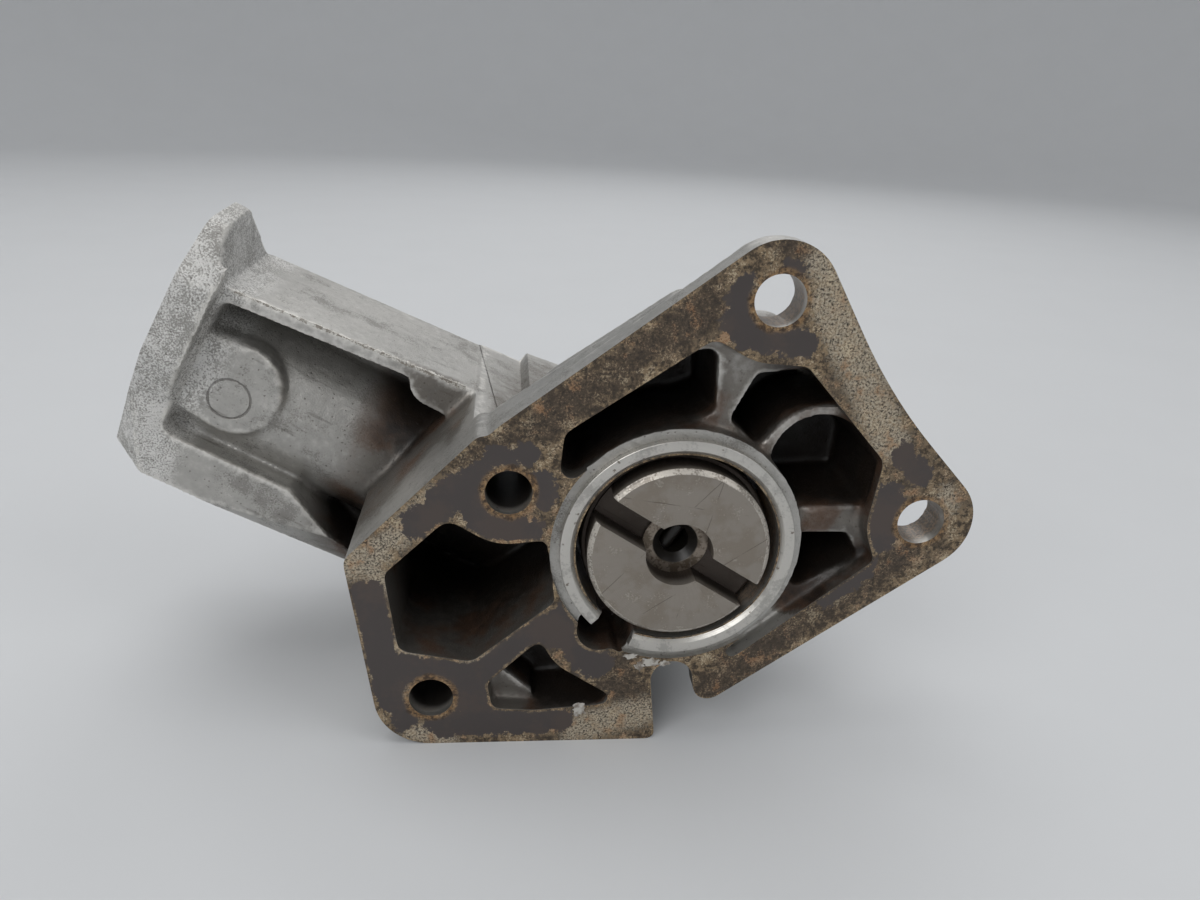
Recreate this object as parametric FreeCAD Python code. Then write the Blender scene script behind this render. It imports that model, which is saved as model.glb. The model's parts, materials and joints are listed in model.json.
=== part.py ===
import FreeCAD, Part
import math
import os

# A cast distributor housing with its angled drive. The flange that meets the engine stands
# upright at y = 0 and faces -Y, z is up, and the drive shaft turns about the Y axis. The branch
# rises to the left and takes the distributor. Lengths are in millimetres, angles in degrees.

# Flange face: hole centres are (x, z), seen from the engine side
hole_a = (-31.4, 11.5)
hole_b = (-45.8, -32.2)
hole_c = (13.6, 47.2)
hole_d = (46.0, 6.0)
hole_ab_diameter = 8.4
hole_cd_diameter = 9.0
lug_radius = 10.2
foot_lug_radius = 10.9
left_corner = (-58.3, -3.0)
left_corner_radius = 2.5
top_corner = (-33.1, 24.1)
foot_corner_x = -3.0
foot_corner_radius = 1.5
notch_centre = (1.1, -28.7)
notch_radius = 4.2
notch_lug = (8.7, -30.5)
notch_lug_radius = 3.1
waist_radius = 115.0
waist_offset = 8.0
flange_thickness = 5.5
lug_boss_depth = 8.0
lug_boss_radius = 9.6
rim_depth = 12.0
rim_end = (1.0, 40.8)
rim_end_radius = 6.0

# Cast body behind the flange
rear_wall_thickness = 2.7
body_top_corner = (-35.9, 20.2)
body_top_radius = 2.0
body_foot_x = -17.0
body_foot_radius = 6.0
shoulder_radius = 9.2
chamber_wall = 3.2
chamber_back = 29.0

# Pockets in the flange face
pocket_corner = 1.3
land_a = 10.2
land_c = 11.0
land_d = 10.4
boss_gap = 0.2
left_pocket_depth = 44.0
left_pocket_top = (-41.9, 2.7)
left_pocket_left = (-51.9, -5.6)
left_pocket_low_left = (-49.6, -19.5)
left_pocket_low = (-38.6, -21.6)
left_pocket_right_low = (-23.9, -10.5)
left_pocket_right_high = (-25.5, 0.6)
left_pocket_round = 2.3
left_pocket_left_round = 1.8
left_pocket_top_round = 2.8
foot_pocket_depth = 13.0
foot_pocket_ledge = 4.0
foot_pocket_top = (-25.5, -21.8)
foot_pocket_left = (-33.4, -29.6)
foot_pocket_low_left = (-32.7, -33.5)
foot_pocket_low = (-26.0, -34.0)
foot_pocket_right = (-12.9, -32.9)
foot_shelf_end = (-27.2, -34.3)
foot_shelf_round = 1.0
drain_centre = (-13.6, -17.2)
drain_radius = 4.6
drain_land = 11.1
drain_depth = 14.0
ring_gap_start = 226.0
ring_gap_end = 248.0
chamber_step = 4.0
chamber_depth = 25.0
chamber_right_end = (12.6, -22.4)
chamber_low = (36.7, -2.0)
chamber_high = (34.2, 17.3)
chamber_peak_right = (19.3, 34.6)
chamber_peak_left = (3.3, 37.6)
chamber_left_end = (-19.6, 21.5)
chamber_left_low = (-20.3, 16.4)
chamber_round = 2.4
chamber_left_round = 2.1

# Ribs that cross the large chamber and leave four deep cells
curved_rib_centre = (26.0, 16.2)
curved_rib_radius = 10.2
rib_width = 1.8
rib_corner_gap = 0.5
cell_round = 1.6
cell_a_low = (3.8, 26.8)
cell_a_high = (3.3, 35.7)
cell_a_top = (-0.8, 35.4)
cell_b_low_left = (9.8, 24.6)
cell_b_low_angle = 158.0
cell_b_right_angle = 80.0
cell_b_top = (20.4, 32.5)
cell_b_left = (13.4, 31.6)
cell_c_right = (35.4, 16.2)
cell_c_low_right = (34.9, 9.2)
cell_c_low_left = (21.0, 8.4)
cell_d_left = (21.5, 0.3)
cell_d_right = (32.9, 0.3)
cell_d_low_right = (34.5, -2.8)
cell_d_low = (25.2, -8.4)

# Drive bore and the spigot ring that centres the housing in the engine
bore_radius = 19.0
barrel_wall = 4.5
ring_outer_radius = 22.0
ring_height = 0.7
ring_chamfer = 1.0
boss_step = 1.0

# Branch: t runs along the distributor axis, w across it, y is the depth
branch_angle = 28.5
shaft_offset = 26.0
branch_depth_centre = 46.0
branch_half_depth = 18.0
face_distance = 101.7
plate_thickness = 7.4
branch_low = 22.0
branch_top_at_plate = 21.4
branch_top_at_body = 26.4
branch_top_run = 54.0
plate_top_lug = 32.2
plate_low_round = 6.0
plate_top_drop = 1.0
plate_top_back_drop = 9.0
plate_bulge = 4.2
plate_bulge_start = -6.0
plate_bulge_low = 4.5
plate_bulge_high = 19.5
plate_bulge_round = 3.0
heel_round = 1.5
heel_drop = 7.8
heel_rise = 16.5
heel_depth = 12.0
lug_tip_thickness = 2.5
underside_start_run = 12.0
underside_bevel_run = 36.0
underside_bevel_height = 7.0
underside_bevel_depth = 12.0
underside_drop = 5.0
branch_top_end = 37.0
branch_shoulder = 12.0
tube_radius = 15.6
tube_wall_low = 3.6
tube_floor = 1.2
plate_fillet = 0.8
web_thickness = 2.6
mid_web = 3.2
low_web = 10.5
low_web_dip = 9.0
low_web_dip_run = 8.0
low_web_level_run = 26.0
branch_pocket_round = 2.5
pad_distance = 17.0
pad_shift = 2.4
pad_radius = 9.8
pad_stand = 0.8
pad_edge_round = 1.6
end_pad_radius = 4.9
end_pad_run = 42.9
end_pad_length = 7.0
end_pad_rise = 23.5
mark_radius = 4.2
mark_width = 0.4
mark_depth = 0.3
mark_shift = -2.0
socket_radius = 13.5
socket_depth = 34.0
socket_chamfer = 0.9
clamp_hole_diameter = 5.0
clamp_hole_depth = 5.6
clamp_hole_inset = 10.7
overlap = 1.0
sweep_guide_radius = 10.0

# Shaft-to-hole clearances
running = 0.03
side_play = 0.3
air = 0.6

# Crossed helical gears, one turn for one turn
tooth_count = 11
drive_pitch_radius = 16.8
tooth_addendum = 1.15
tooth_dedendum = 1.45
tooth_backlash = 0.45
pressure_angle = 20.0
drive_gear_width = 27.0
pinion_width = 18.0
pinion_hub_length = 5.0
pinion_hub_radius = 7.6

# Drive shaft line
coupling_stand = 2.0
coupling_disc_radius = 17.0
coupling_disc_length = 6.0
coupling_drum_radius = 17.9
coupling_length = 13.0
coupling_chamfer = 0.8
slot_width = 5.5
slot_angle = -32.0
slot_depth = 5.4
coupling_bore_radius = 6.3
scroll_count = 9
scroll_depth = 0.8
scroll_pitch = 30.0
scroll_groove_share = 0.35
scroll_flank_share = 0.1
shaft_radius = 8.0
shaft_nose_length = 8.0
journal_step = 1.5
end_gap = 1.0
plug_step = 1.5
shaft_oil_hole = 2.8
shaft_oil_mouth = 4.3
shaft_oil_depth = 22.0
coupling_gap = 3.5
rear_bush_length = 12.0
bush_wall = 2.0
washer_thickness = 1.5
circlip_thickness = 1.2
circlip_groove = 1.0
circlip_gap_angle = 40.0
circlip_land = 2.0
key_size = 4.0
key_length = 16.0
washer_reach = 7.0
pin_radius = 1.5
pin_recess = 0.8
core_plug_thickness = 1.2
core_plug_depth = 4.0

# Distributor spindle line
spindle_radius = 5.0
spindle_tail_radius = 3.6
spindle_tail_length = 10.0
tail_bush_wall = 2.0
upper_bush_length = 24.0
dog_radius = 9.0
dog_length = 14.0
dog_slot_width = 4.0
dog_slot_depth = 5.0
dog_slot_offset = 0.8
dog_gap = 4.0

UP = FreeCAD.Vector(0, 0, 1)
BACK = FreeCAD.Vector(0, 1, 0)
ORIGIN = FreeCAD.Vector(0, 0, 0)


def mid(p, q):
    return ((p[0] + q[0]) / 2, (p[1] + q[1]) / 2)


def outward(p, q, distance):
    """A point beside the middle of p-q, on the right hand of the way from p to q."""
    length = math.hypot(q[0] - p[0], q[1] - p[1])
    m = mid(p, q)
    return (m[0] + distance * (q[1] - p[1]) / length, m[1] - distance * (q[0] - p[0]) / length)


def belt_edges(circles):
    """Lines and arcs of a belt that runs anticlockwise round circles ((u, v), radius).

    A positive radius is rounded outwards and a negative one is a hollow.
    """
    count = len(circles)
    headings = []
    for i in range(count):
        (c, r), (d, s) = circles[i], circles[(i + 1) % count]
        du, dv = d[0] - c[0], d[1] - c[1]
        headings.append(math.atan2(dv, du) + math.asin((r - s) / math.hypot(du, dv)))

    def rim(i, heading):
        c, r = circles[i]
        return FreeCAD.Vector(c[0] + r * math.sin(heading), c[1] - r * math.cos(heading), 0)

    edges = []
    for i in range(count):
        radius = circles[i][1]
        before, after = headings[i - 1], headings[i]
        if radius:
            turn = (after - before) % (2 * math.pi)
            if radius < 0:
                turn -= 2 * math.pi
            edges.append(Part.Arc(rim(i, before), rim(i, before + turn / 2), rim(i, after)).toShape())
        start, end = rim(i, after), rim((i + 1) % count, after)
        if start.distanceToPoint(end) > 1e-6:
            edges.append(Part.LineSegment(start, end).toShape())
    return edges


def upright():
    """Turns a sketch drawn in x and y so that it lies in x and z and faces the back."""
    return FreeCAD.Placement(ORIGIN, FreeCAD.Rotation(FreeCAD.Vector(1, 0, 0), 90))


def slab(circles, front, back):
    """A prism of the belt's outline, from the depth front to the depth back."""
    face = Part.Face(Part.Wire(belt_edges(circles)))
    face.Placement = upright()
    face.translate(BACK * front)
    return face.extrude(BACK * (back - front))


def rod(radius, front, back, centre=(0.0, 0.0)):
    """A cylinder along Y."""
    base = FreeCAD.Vector(centre[0], front, centre[1])
    return Part.makeCylinder(radius, back - front, base, BACK)


def tube(outer, inner, front, back, centre=(0.0, 0.0)):
    return rod(outer, front, back, centre).cut(rod(inner, front, back, centre))


def bevelled_rod(radius, front, back, bevel, both=False):
    """A cylinder along Y with a bevelled front edge, and a bevelled back edge if both."""
    nose = Part.makeCone(radius - bevel, radius, bevel, BACK * front, BACK)
    tail_start = back - bevel if both else back
    body = nose.fuse(rod(radius, front + bevel, tail_start))
    if both:
        body = body.fuse(Part.makeCone(radius, radius - bevel, bevel, BACK * tail_start, BACK))
    return body.removeSplitter()


# Branch frame: local x is w, local y is the depth and local z is t
tilt = math.radians(branch_angle)
along_axis = FreeCAD.Vector(-math.cos(tilt), 0, math.sin(tilt))
across_axis = FreeCAD.Vector(math.sin(tilt), 0, math.cos(tilt))
branch_frame = FreeCAD.Placement(
    ORIGIN, FreeCAD.Rotation(across_axis, BACK, along_axis, "ZXY"))


def to_branch(shape):
    """Moves a solid that is modelled about the local z axis onto the spindle's axis."""
    moved = shape.copy()
    moved.translate(FreeCAD.Vector(-shaft_offset, branch_depth_centre, 0))
    moved.Placement = branch_frame.multiply(moved.Placement)
    return moved


def post(radius, low, high):
    """A cylinder along local z, for the spindle line."""
    return Part.makeCylinder(radius, high - low, UP * low, UP)


def sleeve(outer, inner, low, high):
    return post(outer, low, high).cut(post(inner, low, high))


def branch_slab(corners, front, back):
    """A prism with an outline in (t, w), between two depths."""
    points = [along_axis * t + across_axis * w + BACK * front for t, w in corners]
    face = Part.Face(Part.makePolygon(points + points[:1]))
    return face.extrude(BACK * (back - front))


def branch_belt(circles, front, back):
    """A prism with a belt outline in (t, w), between two depths."""
    face = Part.Face(Part.Wire(belt_edges(circles)))
    face.Placement = FreeCAD.Placement(
        BACK * front, FreeCAD.Rotation(along_axis, across_axis, BACK, "ZXY"))
    return face.extrude(BACK * (back - front))


# Places that follow from the sizes
barrel_radius = bore_radius + barrel_wall
branch_front = branch_depth_centre - branch_half_depth
branch_back = branch_depth_centre + branch_half_depth
axis_w = -shaft_offset
plate_inner = face_distance - plate_thickness
floor_z = hole_b[1] - foot_lug_radius
underside_start = plate_inner - underside_start_run
underside_end = underside_start - underside_bevel_run

# Gear geometry: the helix angles add up to a right angle, so the turns are one to one
pinion_pitch_radius = shaft_offset - drive_pitch_radius
drive_helix = math.atan(drive_pitch_radius / pinion_pitch_radius)
pinion_helix = math.pi / 2 - drive_helix
drive_tip_radius = drive_pitch_radius + tooth_addendum
pinion_tip_radius = pinion_pitch_radius + tooth_addendum
pinion_bore_radius = pinion_tip_radius + air

# Stations along the drive shaft
coupling_front = -coupling_stand
coupling_back = coupling_front + coupling_length
gear_front = branch_depth_centre - drive_gear_width / 2
gear_back = branch_depth_centre + drive_gear_width / 2
front_washer_front = gear_front - side_play - washer_thickness
front_bush_back = front_washer_front
front_circlip_front = coupling_back + coupling_gap
front_bush_front = front_circlip_front + circlip_thickness
rear_washer_back = gear_back + side_play + washer_thickness
rear_wall_front = rear_washer_back
body_depth = rear_wall_front + rear_wall_thickness
rear_bush_back = rear_wall_front + rear_bush_length
rear_journal_radius = shaft_radius - journal_step
rear_circlip_front = rear_bush_back + side_play
shaft_back = rear_circlip_front + circlip_thickness + end_gap
plug_front = shaft_back + end_gap
housing_back = plug_front + core_plug_depth
rear_bush_radius = rear_journal_radius + bush_wall
plug_radius = rear_bush_radius + plug_step

# Stations along the spindle, measured as t
pinion_low = -pinion_width / 2
pinion_high = pinion_width / 2
tail_washer_low = pinion_low - side_play - washer_thickness
tail_bush_high = tail_washer_low
tail_bush_low = tail_bush_high - spindle_tail_length
tail_bush_radius = spindle_tail_radius + tail_bush_wall
pinion_hub_high = pinion_high + pinion_hub_length
upper_washer_high = pinion_hub_high + side_play + washer_thickness
upper_bush_low = upper_washer_high
upper_bush_high = upper_bush_low + upper_bush_length
upper_circlip_high = upper_bush_high + circlip_thickness
dog_low = upper_circlip_high + dog_gap
dog_high = dog_low + dog_length
spindle_top = dog_high - dog_slot_depth
pinion_pin_height = (pinion_high + pinion_hub_high) / 2
dog_pin_height = dog_low + (spindle_top - dog_low) / 2
socket_low = face_distance - socket_depth
bore_low = tail_bush_high
tube_low = tail_bush_low - end_gap


def flange_outline():
    return [
        (hole_d, lug_radius),
        (outward(hole_d, hole_c, waist_offset + waist_radius), -waist_radius),
        (hole_c, lug_radius),
        (top_corner, 0.0),
        (left_corner, left_corner_radius),
        (hole_b, foot_lug_radius),
        ((foot_corner_x, floor_z + foot_corner_radius), foot_corner_radius),
        (notch_centre, -notch_radius),
        (notch_lug, notch_lug_radius),
    ]


def body_outline():
    """The deep left half of the body, which runs into the round barrel of the drive."""
    return [
        (body_top_corner, body_top_radius),
        (left_corner, left_corner_radius),
        (hole_b, foot_lug_radius),
        ((body_foot_x, floor_z + body_foot_radius), body_foot_radius),
        ((0.0, 0.0), shoulder_radius),
    ]


def rim_outline():
    """The thicker rim that joins the deep body to the lug at hole C."""
    return [
        (rim_end, rim_end_radius),
        (top_corner, 0.0),
        (left_corner, left_corner_radius),
        ((0.0, 0.0), shoulder_radius),
    ]


def chamber_outline(wall):
    """The large chamber round the barrel, or its outer shell when a wall is given."""
    corners = [
        (chamber_right_end, pocket_corner + wall),
        (chamber_low, pocket_corner + wall),
        (hole_d, wall - land_d),
        (chamber_high, chamber_round + wall),
        (chamber_peak_right, pocket_corner + wall),
        (hole_c, wall - land_c),
        (chamber_peak_left, chamber_round + wall),
        (chamber_left_end, chamber_round + wall),
        (chamber_left_low, chamber_left_round + wall),
    ]
    if wall:
        return corners
    return corners + [((0.0, 0.0), -(barrel_radius + boss_gap))]


def chamber_cells():
    """The four deep cells between the ribs of the large chamber."""
    inner_rib = curved_rib_radius - rib_width / 2
    outer_rib = curved_rib_radius + rib_width / 2

    def beside_rib(angle):
        """A corner of the cell outside the curved rib, seen from the rib's centre."""
        reach = outer_rib + pocket_corner + rib_corner_gap
        turn = math.radians(angle)
        return (curved_rib_centre[0] + reach * math.cos(turn),
                curved_rib_centre[1] + reach * math.sin(turn))

    return [
        [(cell_a_low, cell_round), (cell_a_high, cell_round), (cell_a_top, cell_round),
         (chamber_left_end, chamber_round), (chamber_left_low, chamber_left_round)],
        [(beside_rib(cell_b_low_angle), pocket_corner), (curved_rib_centre, -outer_rib),
         (beside_rib(cell_b_right_angle), pocket_corner), (cell_b_top, cell_round),
         (cell_b_left, cell_round), (cell_b_low_left, pocket_corner)],
        [(cell_c_low_right, cell_round), (cell_c_right, cell_round),
         (curved_rib_centre, inner_rib), (cell_c_low_left, cell_round)],
        [(cell_d_low_right, cell_round), (cell_d_right, pocket_corner),
         (cell_d_left, pocket_corner), (cell_d_low, cell_round)],
    ]


def left_pocket():
    return [
        (left_pocket_right_low, pocket_corner),
        (left_pocket_right_high, pocket_corner),
        (hole_a, -land_a),
        (left_pocket_top, left_pocket_top_round),
        (left_pocket_left, left_pocket_left_round),
        (left_pocket_low_left, left_pocket_round),
        (left_pocket_low, left_pocket_round),
    ]


def foot_pocket():
    return [
        (foot_pocket_right, cell_round),
        (drain_centre, -drain_land),
        (foot_pocket_top, cell_round),
        (foot_pocket_left, cell_round),
        (foot_pocket_low_left, cell_round),
        (foot_pocket_low, cell_round),
    ]


def foot_shelf():
    """The shallow shelf in the low left corner of the foot pocket."""
    return [
        (foot_shelf_end, foot_shelf_round),
        (foot_pocket_left, cell_round),
        (foot_pocket_low_left, cell_round),
    ]


def plate_outline():
    """The branch's mounting plate about the spindle axis: across, then depth."""
    edge = branch_half_depth - plate_low_round
    bulge = plate_bulge_round - branch_half_depth - plate_bulge
    top = plate_top_lug - plate_low_round
    return [
        ((plate_bulge_high, bulge), plate_bulge_round),
        ((top - plate_top_drop, -edge), plate_low_round),
        ((top, 0.0), plate_low_round),
        ((top - plate_top_back_drop, edge), plate_low_round),
        ((plate_low_round - branch_low, edge), plate_low_round),
        ((heel_round - branch_low, heel_round - branch_half_depth), heel_round),
        ((plate_bulge_start, -branch_half_depth), 0.0),
        ((plate_bulge_low, bulge), plate_bulge_round),
    ]


def branch_block():
    """The block between body and plate, in (t, w)."""
    low = axis_w - branch_low
    slope = (branch_top_at_body - branch_top_at_plate) / branch_top_run
    block = branch_slab([
        (underside_end, low - underside_drop),
        (underside_start, low),
        (plate_inner, low),
        (plate_inner, axis_w + branch_top_at_plate),
        (branch_top_end, axis_w + branch_top_at_plate + slope * (plate_inner - branch_top_end)),
        (underside_end, axis_w + branch_shoulder),
    ], branch_front, branch_back)
    return block.cut(underside_bevel(low))


def branch_point(t, w, y):
    return along_axis * t + across_axis * w + BACK * y


def four_sided(tip, corner, side, under):
    """A solid with four corners, for a slanted cut across an edge or a corner."""
    faces = [Part.Face(Part.makePolygon([p, q, r, p])) for p, q, r in (
        (tip, corner, side), (tip, side, under), (tip, under, corner), (corner, under, side))]
    return Part.makeSolid(Part.makeShell(faces))


def underside_bevel(low):
    """A bevel that grows towards the body along the front edge of the underside."""
    bottom = low - underside_drop - overlap
    return four_sided(
        branch_point(underside_start, low, branch_front),
        branch_point(underside_end, bottom, branch_front - overlap),
        branch_point(underside_end, low + underside_bevel_height, branch_front - overlap),
        branch_point(underside_end, bottom, branch_front + underside_bevel_depth))


def heel_facet():
    """The slanted facet that takes off the plate's low front corner."""
    low = axis_w - branch_low - overlap
    front = branch_front - overlap
    top = face_distance + overlap
    grow = 1 + overlap / heel_drop + overlap / heel_rise + overlap / heel_depth
    return four_sided(
        branch_point(top, low, front),
        branch_point(top - heel_drop * grow, low, front),
        branch_point(top, low + heel_rise * grow, front),
        branch_point(top, low, front + heel_depth * grow))


def branch_pocket(front, back):
    """The open pocket beside the tube: it runs from the plate into the body's wall."""
    r = branch_pocket_round
    outer = plate_inner - plate_fillet - r
    inner = plate_inner - branch_top_run
    slope = (branch_top_at_body - branch_top_at_plate) / branch_top_run
    top = axis_w + branch_top_at_plate - web_thickness - r
    low = axis_w - branch_low + low_web
    return branch_belt([
        ((outer, low + r), r),
        ((outer, top), r),
        ((inner + r, top + slope * (branch_top_run - r)), r),
        ((inner + low_web_dip_run, low - low_web_dip + r), r),
        ((inner + low_web_level_run, low), 0.0),
    ], front, back)


def lug_back_slope():
    """What is cut from the back of the plate's top lug, which tapers to its tip."""
    top = axis_w + plate_top_lug + overlap
    low = axis_w + branch_top_at_plate
    return branch_slab([
        (plate_inner - overlap, low),
        (plate_inner, low),
        (face_distance - lug_tip_thickness, top),
        (plate_inner - overlap, top),
    ], branch_front - overlap, branch_back + overlap)


def branch_pad(front, back):
    """The teardrop pad that joins the plate, with its front edge rounded."""
    centre = (face_distance - pad_distance, axis_w + pad_shift)
    pad = branch_belt([
        ((plate_inner + overlap, centre[1] - pad_radius + pad_edge_round), 0.0),
        ((plate_inner + overlap, centre[1] + pad_radius - pad_edge_round), 0.0),
        (centre, pad_radius),
    ], front, back)
    rims = [edge for edge in pad.Edges
            if edge.BoundBox.YMax < front + 0.01 and edge.BoundBox.XMax > edge.BoundBox.XMin + 0.01
            and max((v.Point.dot(along_axis) for v in edge.Vertexes)) < plate_inner + overlap + 0.01
            and min((v.Point.dot(along_axis) for v in edge.Vertexes)) < plate_inner]
    return pad.makeFillet(pad_edge_round, rims)


def branch_round(radius, t, w, front, back):
    """A cylinder along Y at a place in (t, w)."""
    base = along_axis * t + across_axis * w + BACK * front
    return Part.makeCylinder(radius, back - front, base, BACK)


def wedge(radius, start, end, front, back):
    """A slice about the Y axis between two angles seen from the front."""
    corners = [((0.0, 0.0), 0.0)]
    for angle in (start, end):
        turn = math.radians(angle)
        corners.append(((radius * math.cos(turn), radius * math.sin(turn)), 0.0))
    return slab(corners, front, back)


def branch():
    """The open branch: webs and plate about a round tube."""
    pad_front = branch_depth_centre - tube_radius - pad_stand
    block = branch_block()
    end_pad = branch_belt([
        ((plate_inner - end_pad_run, axis_w + end_pad_rise), end_pad_radius),
        ((plate_inner - end_pad_run - end_pad_length, axis_w + end_pad_rise), end_pad_radius),
    ], branch_front, branch_depth_centre).common(block)
    block = block.cut(branch_pocket(branch_front - overlap, branch_depth_centre - mid_web / 2))
    block = block.cut(branch_pocket(branch_depth_centre + mid_web / 2, branch_back + overlap))
    plate_face = Part.Face(Part.Wire(belt_edges(plate_outline())))
    plate_solid = plate_face.extrude(UP * plate_thickness)
    plate_solid.translate(UP * plate_inner)
    parts = [
        to_branch(plate_solid).cut([lug_back_slope(), heel_facet()]),
        branch_pad(pad_front, branch_depth_centre),
        to_branch(post(tube_radius, 0.0, plate_inner + overlap)),
        end_pad,
    ]
    mark_w = axis_w + pad_shift + mark_shift
    mark_t = face_distance - pad_distance
    mark = branch_round(mark_radius, mark_t, mark_w, pad_front - overlap, pad_front + mark_depth)
    mark = mark.cut(branch_round(mark_radius - mark_width, mark_t, mark_w,
                                 pad_front - overlap, pad_front + mark_depth))
    return block.fuse(parts).cut(mark)


def spindle_boss():
    """The closed lower end of the tube, under the drive."""
    chamber = post(pinion_bore_radius + tube_wall_low, bore_low - tube_wall_low, overlap)
    tail = post(tail_bush_radius + tube_wall_low, tube_low - tube_floor, 0.0)
    return to_branch(chamber.fuse(tail))


def bores():
    """Everything that is machined after casting."""
    cuts = [rod(hole_ab_diameter / 2, -overlap, body_depth + overlap, place)
            for place in (hole_a, hole_b)]
    cuts += [rod(hole_cd_diameter / 2, -overlap, rim_depth + overlap, place)
             for place in (hole_c, hole_d)]
    cuts.append(rod(bore_radius, -ring_height - overlap, rear_wall_front))
    mouth = Part.makeCone(bore_radius + ring_chamfer, bore_radius, ring_chamfer,
                          BACK * -ring_height, BACK)
    cuts.append(mouth)
    cuts.append(rod(bore_radius + circlip_groove, front_circlip_front, front_bush_front))
    cuts.append(rod(rear_bush_radius, rear_wall_front - overlap, rear_bush_back))
    cuts.append(rod(plug_radius, rear_bush_back, housing_back + overlap))
    spindle_cuts = [
        post(socket_radius, socket_low, face_distance + overlap),
        Part.makeCone(socket_radius, socket_radius + socket_chamfer, socket_chamfer,
                      UP * (face_distance - socket_chamfer), UP),
        post(pinion_bore_radius, bore_low, socket_low + overlap),
        post(pinion_bore_radius + circlip_groove, upper_bush_high, upper_circlip_high),
        post(tail_bush_radius, tube_low, bore_low + overlap),
        clamp_hole(),
    ]
    return cuts + [to_branch(cut) for cut in spindle_cuts]


def clamp_hole():
    """The tapped hole in the plate's top lug, at tapping size."""
    hole = post(clamp_hole_diameter / 2, face_distance - clamp_hole_depth,
                face_distance + overlap)
    hole.translate(FreeCAD.Vector(plate_top_lug - clamp_hole_inset, 0, 0))
    return hole


def flange_and_body():
    """The outer form of the flange, its lug bosses, the rim, the body and the barrel."""
    bosses = [rod(lug_boss_radius, 0.0, lug_boss_depth, place) for place in (hole_c, hole_d)]
    return slab(flange_outline(), 0.0, flange_thickness).fuse(bosses + [
        slab(rim_outline(), 0.0, rim_depth),
        slab(body_outline(), 0.0, body_depth),
        rod(barrel_radius, boss_step, body_depth),
        slab(chamber_outline(chamber_wall), 0.0, chamber_back),
        rod(ring_outer_radius, -ring_height, flange_thickness),
        rod(plug_radius + chamber_wall, body_depth - overlap, housing_back),
    ])


def flange_hollows():
    """The pockets that open at the flange face."""
    foot = slab(foot_pocket(), -overlap, foot_pocket_depth)
    shelf = slab(foot_shelf(), foot_pocket_ledge, foot_pocket_depth)
    hollows = [
        tube(barrel_radius, ring_outer_radius, -overlap, boss_step),
        slab(chamber_outline(0.0), -overlap, chamber_step),
        slab(left_pocket(), -overlap, left_pocket_depth),
        foot.cut(shelf),
        rod(drain_radius, -overlap, drain_depth, drain_centre),
        wedge(barrel_radius + overlap, ring_gap_start, ring_gap_end, -overlap, drain_depth),
    ]
    barrel = rod(barrel_radius + boss_gap, chamber_step - overlap, chamber_depth)
    return hollows + [slab(cell, chamber_step - overlap, chamber_depth).cut(barrel)
                      for cell in chamber_cells()]


def housing_casting():
    body = flange_and_body().cut(flange_hollows())
    body = body.fuse([branch(), spindle_boss()])
    return body.cut(bores()).removeSplitter()


def toothed_outline(count, root, tip, root_half, tip_half):
    """A closed wire with straight-sided teeth; the half angles are in radians."""
    def at(radius, angle):
        return FreeCAD.Vector(radius * math.cos(angle), radius * math.sin(angle), 0)

    edges = []
    step = 2 * math.pi / count
    for i in range(count):
        a = i * step
        p, q = at(root, a - root_half), at(tip, a - tip_half)
        r, s = at(tip, a + tip_half), at(root, a + root_half)
        edges.append(Part.LineSegment(p, q).toShape())
        edges.append(Part.Arc(q, at(tip, a), r).toShape())
        edges.append(Part.LineSegment(r, s).toShape())
        edges.append(Part.Arc(s, at(root, a + step / 2), at(root, a + step - root_half)).toShape())
    return Part.Wire(edges)


def twisted(outline, height, turn):
    """Sweeps an outline along local z while it turns by an angle in radians."""
    pitch = height * 2 * math.pi / abs(turn)
    spine = Part.makeHelix(pitch, height, sweep_guide_radius, 0, turn < 0)
    sweep = Part.BRepOffsetAPI.MakePipeShell(spine)
    sweep.setFrenetMode(True)
    sweep.add(outline, False, False)
    sweep.build()
    sweep.makeSolid()
    return sweep.shape()


def helical_gear(pitch_radius, helix, width):
    """A right-hand helical gear about local z, with its middle at z = 0."""
    half_pitch = math.pi / tooth_count
    flank = math.tan(math.radians(pressure_angle)) / math.cos(helix) / pitch_radius
    play = tooth_backlash / math.cos(helix) / pitch_radius / 2
    half = half_pitch / 2 - play
    outline = toothed_outline(
        tooth_count, pitch_radius - tooth_dedendum, pitch_radius + tooth_addendum,
        half + tooth_dedendum * flank, half - tooth_addendum * flank)
    turn = width * math.tan(helix) / pitch_radius
    gear = twisted(outline, width, turn)
    gear.rotate(ORIGIN, UP, -math.degrees(turn) / 2)
    gear.translate(UP * (-width / 2))
    return gear


def to_drive(shape):
    """Moves a solid that is modelled about the local z axis onto the drive axis."""
    moved = shape.copy()
    moved.Placement = FreeCAD.Placement(
        BACK * branch_depth_centre, FreeCAD.Rotation(FreeCAD.Vector(1, 0, 0), -90)
    ).multiply(moved.Placement)
    return moved


def circlip(outer, inner, thickness):
    """A snap ring about local z, with its gap towards local x."""
    ring = sleeve(outer, inner, 0.0, thickness)
    width = 2 * inner * math.sin(math.radians(circlip_gap_angle / 2))
    gap = Part.makeBox(outer, width, thickness, FreeCAD.Vector(0, -width / 2, 0))
    return ring.cut(gap)


def ahead(shape, front):
    """Puts a solid modelled from z = 0 upwards onto the drive axis, from a depth on."""
    moved = shape.copy()
    moved.Placement = FreeCAD.Placement(
        BACK * front, FreeCAD.Rotation(FreeCAD.Vector(1, 0, 0), -90)).multiply(moved.Placement)
    return moved


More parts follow.
